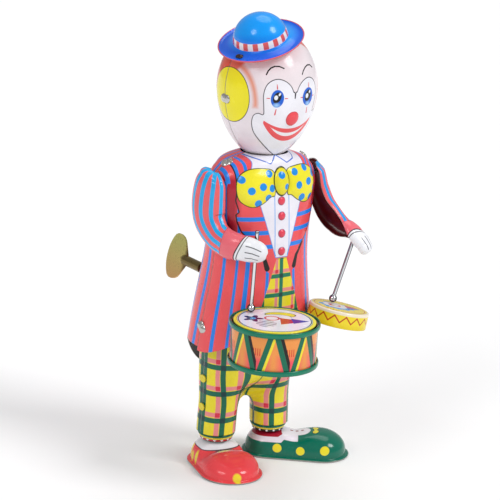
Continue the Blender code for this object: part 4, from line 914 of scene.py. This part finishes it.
# White ink and clear varnish on a flat disc: it mirrors the lamps softly between the drawn shapes
head_print = printed_tin("varnished_drum_head_litho", "#f2f0fa", (
    ("ring", "#0b4a38", 0.55), ("border", "#f5e83c"), ("border", "#2c6a40", 0.25),
    ("star", "#14255f", None, 0.08), ("star_eye", "#5aa7e8", None, 0.1), ("ball", "#dd3f4e", None, 0.08),
    ("crescent", "#f3e445", None, 0.08), ("crescent", "#3b4130", 0.3),
    ("pennant", "#c8243a", None, 0.08), ("pennant_blue", "#2b3fa8", None, 0.08),
    ("stripes", "#223a6a", None, 0.08)), roughness=0.16)
stamped("drum_head_litho", grid, (head_print,), DRUM + (0, 0, 10), "body",
        "drum_head", closed=True, wall=0, fields={
            "ring": r - 17.6, "border": np.abs(r - 19.2) - 0.95, "star": star,
            "star_eye": np.hypot(px + 10.5, py - 1.0) - 1.5,
            "ball": np.abs(np.hypot(px + 1.4, (py - 2.6) * 1.15) - 3.4) - 0.5,
            "crescent": within(ellipse(px, py, (2.6, 8.6), 7.4, 4.0), -ellipse(px, py, (0.9, 5.2), 7.2, 3.6)),
            "pennant": inside(px, py, [(2.4, 3.6), (16.4, 0.4), (3.0, -6.6)]),
            "pennant_blue": inside(px, py, [(7.8, 3.4), (16.8, 0.4), (9.0, -4.4)]),
            "stripes": within(np.abs(wrap(py + 0.3 * px, 2.4)) - 0.45, np.hypot(px + 4.0, py + 6.0) - 5.0)})

# Rolled hoops: a bead round each end of the drum, painted green and varnished, with a painted
# highlight: a lighter green line along the outermost edge of each bead
hoop_print = printed_tin("varnished_green_hoop", "#006b52", (("painted_highlight", "#128a6a", None, 0.35),),
                         roughness=0.14)
for hoop, level in (("drum_hoop_top", DRUM_H - 1.2), ("drum_hoop_bottom", 1.2)):
    a = np.linspace(0.0, math.tau, 22, endpoint=False)
    bulge = 1.28 * np.sign(np.sin(a)) * np.abs(np.sin(a)) ** 0.9
    section = np.stack([DRUM_R + 0.62 + 0.52 * np.cos(a), level + bulge], -1)
    section = np.concatenate([section, section[:1]])
    grid, angle, r, h = turned_about(section, DRUM, (0, 0, 1), 220)
    stamped(hoop + "_rolled", grid, (hoop_print,), DRUM + (0, 0, level), "body", hoop,
            closed=True, wall=0, fields={"painted_highlight": DRUM_R + 1.10 - r + 0.1 * np.sin(angle * 9.0)})

# ------------------------------------------------------------------------------ small drum
# A shallow drawn tin cup, printed yellow with a thin red ring on its face and a red zigzag round
# its side. A flat base closes it and a bent tin bracket holds it out from the coat's left side.
SMALL, SMALL_R, SMALL_H = np.array([31.2, -34.5, 86.0]), 15.2, 8.2
small_axis = (math.sin(math.radians(12.0)), 0.0, math.cos(math.radians(12.0)))
corner = np.linspace(0.0, math.pi / 2, 8)
cup = np.concatenate([
    np.stack([np.linspace(0.01, SMALL_R - 0.8, 70), 0 * np.arange(70)], -1),
    np.stack([SMALL_R - 0.7 + 0.7 * np.sin(corner), -0.7 + 0.7 * np.cos(corner)], -1),
    np.stack([SMALL_R + 0 * np.arange(26), np.linspace(-1.0, -SMALL_H, 26)], -1)])
grid, angle, r, h = turned_about(cup, SMALL, small_axis, 320)
pitch = math.tau * SMALL_R / 16
zigzag = -3.7 + 1.6 * (wrap((angle - 0.2) * SMALL_R, pitch) / (pitch / 4) - 1)
lx, ly = r * np.cos(angle - facing - math.pi / 2), r * np.sin(angle - facing - math.pi / 2)
on_face = np.where(h > -0.9, 0.0, 30.0)
# Yellow ink on bright tin under varnish: a warm clear colour, and a painted highlight, a pale cream band,
# along the drawn edge
small_print = printed_tin("varnished_small_drum_litho", "#f4dd2c", (
    ("rim", "#f6ead2", None, 0.12), ("ring", "#c4502c", 0.42), ("zigzag", "#c0421f", 0.6, 0.09),
    ("shadow", "#e8ce1e", None, 1.2), ("cloud", "#3f9fe6", None, 0.12), ("cloud_inner", "#f6f3ee", None, 0.1),
    ("flag", "#d2352f", None, 0.08), ("flag_blue", "#2f55b8", None, 0.08), ("hoop", "#e24a52", None, 0.1)),
    roughness=0.15)
stamped("small_drum_cup_litho", grid, (small_print, tinplate_inside, cut_edge), SMALL - (0, 0, 4), "body",
        "small_drum_cup", closed=True, fields={
            # painted highlight: a pale cream band round the rounded edge of the cup
            "rim": within(14.0 - r, -1.5 - h, h - 1.0),
            "ring": np.where(h > -0.6, r - 12.9, 9.0),
            "zigzag": np.where(h < -1.2, (h - zigzag) * 0.62, 9.0),
            "shadow": h + 6.6,
            "cloud": ellipse(lx, ly, (-1.6, -0.6), 8.4, 7.0) + 0.7 * np.sin(angle * 9) + on_face,
            "cloud_inner": ellipse(lx, ly, (-2.2, 1.0), 6.2, 5.6) + on_face,
            "flag": inside(lx, ly, [(2.6, 6.4), (10.2, 5.0), (3.6, 0.6)]) + on_face,
            "flag_blue": inside(lx, ly, [(3.8, 1.4), (11.4, 4.0), (4.2, -4.0)]) + on_face,
            "hoop": np.abs(np.hypot(lx + 2.4, ly - 1.0) - 2.6) - 0.5 + 0.3 * np.cos(4 * angle) + on_face})

# ------------------------------------------------------------------------------ drumsticks
# Drawn steel rods 1.9 mm thick with a 4 mm ball at the end, chromed all over, pushed up through
# each glove and held there by the pinched tin.
BALL_R, ROD_R = 2.0, 0.95
STICKS = {"right": ((-21.1, -32.4, 91.75), (-18.9, -31.1, 130.0)),
          "left": ((31.7, -28.0, 88.4), (41.4, -30.0, 120.6))}
# Bright chrome over drawn rod: nearly a mirror, with faint lengthwise drawing marks
chrome = bare_metal("polished_chrome_plate", "#e4e6ea", 0.07, stretch=(1.0, 1.0, 0.05), scale=420.0,
                    contrast=0.12, depth=0.03)
# Painted reflection: the chrome's colour turns dark grey towards the glancing edges of the thin rods,
# standing in for the dark room behind the lamps
chrome_shader = chrome.node_tree.nodes["Principled BSDF"]
chrome_tone = chrome_shader.inputs["Base Color"].links[0].from_socket
chrome_facing = node(chrome.node_tree, "LayerWeight", {"Blend": 0.5})
chrome_edge = node(chrome.node_tree, "MapRange", {"From Min": 0.12, "From Max": 0.36},
                   {"Value": chrome_facing.outputs["Facing"]})
chrome_painted_reflection = node(chrome.node_tree, "MixRGB", {"Color2": linear("#26262a")},
                  {"Fac": chrome_edge.outputs[0], "Color1": chrome_tone})
chrome.node_tree.links.new(chrome_painted_reflection.outputs[0], chrome_shader.inputs["Base Color"])
for side, (ball, top) in STICKS.items():
    axis = np.array(top) - np.array(ball)
    length = np.linalg.norm(axis)
    a = np.linspace(0.001, math.radians(148.0), 36)
    profile = np.concatenate([
        np.stack([BALL_R * np.sin(a), -BALL_R * np.cos(a)], -1),
        [(1.0, 1.9), (ROD_R, 2.1)],
        np.stack([ROD_R + 0 * np.arange(24), np.linspace(2.4, length - 0.35, 24)], -1),
        [(ROD_R - 0.1, length - 0.12), (ROD_R - 0.35, length), (0.01, length)]])
    grid, _, _, _ = turned_about(profile, ball, axis / length, 56)
    stamped("drumstick_%s_plated" % side, grid, (chrome,), (np.array(ball) + np.array(top)) / 2,
            side + "_arm", "drumstick_" + side, closed=True, wall=0)

# ------------------------------------------------------------------------------ tabs, plates and movement
# Bright tin tabs pushed through slots and twisted, the key of sheet brass, and behind the coat the
# spring movement: brass wheels, steel arbors and cams between two plates.
# Bare tin burnished by the twisting pliers: small bright sparks on each coat and ear tab
tab_tin = bare_metal("twisted_tin_tab", "#d4d2cd", 0.22, scale=900.0)
# Lacquer left on the hat's tabs keeps them brown and dull
tab_dark = bare_metal("lacquered_hat_tab", "#5a4a48", 0.3, scale=900.0)


def folded_tab(name, at, out, along, size, finish, body):
    """Tab end folded flat over its slot: radius is half the size times 0.5 plus 0.5 of the
    square of the cosine (two lobes), and the height a dome with a crease across the middle."""
    out = Vector(out).normalized()
    along = (Vector(along) - out * out.dot(Vector(along))).normalized()
    frame_axes = np.array([along, out.cross(along), out])
    share = np.linspace(0.02, 1.0, 14)[:, None]
    turn = np.linspace(0.0, math.tau, 48, endpoint=False)[None, :]
    lobe = size / 2 * (0.5 + 0.5 * np.cos(turn) ** 2)
    u, v = share * lobe * np.cos(turn), share * lobe * np.sin(turn) * 1.25
    height = 0.75 * np.sqrt(1 - 0.96 * share**2) * (0.55 + 0.45 * np.abs(np.cos(turn))) + 0.25 * v / size
    skirt = np.stack([u[-1], v[-1], -0.35 + 0 * u[-1]], -1)[None]
    local = np.concatenate([np.stack([u, v, height], -1), skirt])
    stamped(name + "_folded", local @ frame_axes + np.asarray(at, float), (finish,), at, body, name,
            closed=True, wall=0)


for sx, side in ((-1.0, "right"), (1.0, "left")):
    folded_tab("shoulder_tab_" + side, (sx * 22.8, -8.0, 159.1), (sx * 0.62, -0.25, 0.8),
               (1.0, 0.5 * sx, 0.0), 6.0, tab_tin, "body")
    folded_tab("coat_tab_" + side, (sx * 31.2, -5.0, 75.2), (sx, -0.28, 0.1), (0.0, 0.75, 0.9), 6.2,
               tab_tin, "body")
    folded_tab("ear_tab_" + side, (sx * 24.6, -6.6, 190.4), (sx, -0.1, -0.04), (0.0, 1.0, 0.1), 6.2,
               tab_tin, "head")
hat_turn = np.array(Vector((0, 0, 1)).rotation_difference(Vector(HAT_AXIS)).to_matrix())
for number, heading in ((1, 196.0), (2, 20.0)):
    a = math.radians(heading)
    folded_tab("hat_tab_%d" % number, HAT + hat_turn @ (16.6 * math.cos(a), 16.6 * math.sin(a), -0.85),
               HAT_AXIS, hat_turn @ (-math.sin(a), math.cos(a), 0.0), 4.0, tab_dark, "head")

# Rolled plate: grey, satin, streaked one way
plate_tin = bare_metal("movement_plate_tin", "#b9b8b4", 0.36, stretch=(1.0, 1.0, 0.1))
# Stamped brass: warm, with a fine even grain
wheel_brass = bare_metal("stamped_wheel_brass", "#d0aa5a", 0.3, scale=800.0)
# Tumbled sheet brass: pale gold with little contrast
key_brass = bare_metal("key_sheet_brass", "#cdb867", 0.3, contrast=0.12)
# Turned steel: rings round each arbor
arbor_steel = bare_metal("turned_arbor_steel", "#a9abaf", 0.26, stretch=(1.0, 0.05, 1.0))
# Oil-blued spring strip: dark slate
spring_steel = bare_metal("blued_spring_steel", "#59606e", 0.3)
# The tabs keep the trousers' yellow ink and its varnish
leg_tab = printed_tin("painted_leg_tab", "#ecd832")
# The key's brass runs from bronze at its lower end to straw yellow at its upper end, and its barrel
# is dark brown towards the coat
key_tree = key_brass.node_tree
key_shader = key_tree.nodes["Principled BSDF"]
key_tone = key_shader.inputs["Base Color"].links[0].from_socket
key_place = node(key_tree, "SeparateXYZ", {}, {"Vector": node(key_tree, "TexCoord").outputs["Object"]})
key_fall = node(key_tree, "MapRange", {"From Min": 0.082, "From Max": 0.104},
                {"Value": key_place.outputs["Z"]})
key_wash = node(key_tree, "MixRGB", {"Color1": linear("#d59a6e"), "Color2": linear("#c9c778")},
                {"Fac": key_fall.outputs[0]})
key_inner = node(key_tree, "MapRange", {"From Min": 0.0478, "From Max": 0.0458},
                 {"Value": key_place.outputs["Y"]})
key_barrel = node(key_tree, "MixRGB", {"Color2": linear("#5a4630")},
                  {"Fac": key_inner.outputs[0], "Color1": key_wash.outputs[0]})
key_mix = node(key_tree, "MixRGB", {"Fac": 0.8}, {"Color1": key_tone, "Color2": key_barrel.outputs[0]})
key_tree.links.new(key_mix.outputs[0], key_shader.inputs["Base Color"])
finishes = {
    plate_tin: ("sole_plate_right", "sole_plate_left", "neck_bridge", "drum_base", "drum_bracket",
                "small_drum_base", "small_drum_bracket", "plate_front", "plate_back"),
    wheel_brass: ("great_wheel", "second_wheel", "third_wheel", "escape_wheel"),
    key_brass: ("winding_key",),
    arbor_steel: ("pillar_1", "pillar_2", "pillar_3", "head_spindle", "arm_shaft_right", "arm_shaft_left",
                  "winding_arbor", "second_arbor", "cam_arbor", "cam_right", "cam_left", "escape_arbor",
                  "governor_anchor"),
    spring_steel: ("mainspring",),
    leg_tab: ("trouser_tab_right_upper", "trouser_tab_right_lower", "trouser_tab_left_upper",
              "trouser_tab_left_lower"),
}
for finish, names in finishes.items():
    for name in names:
        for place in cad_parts[name].material_slots:
            place.material = finish
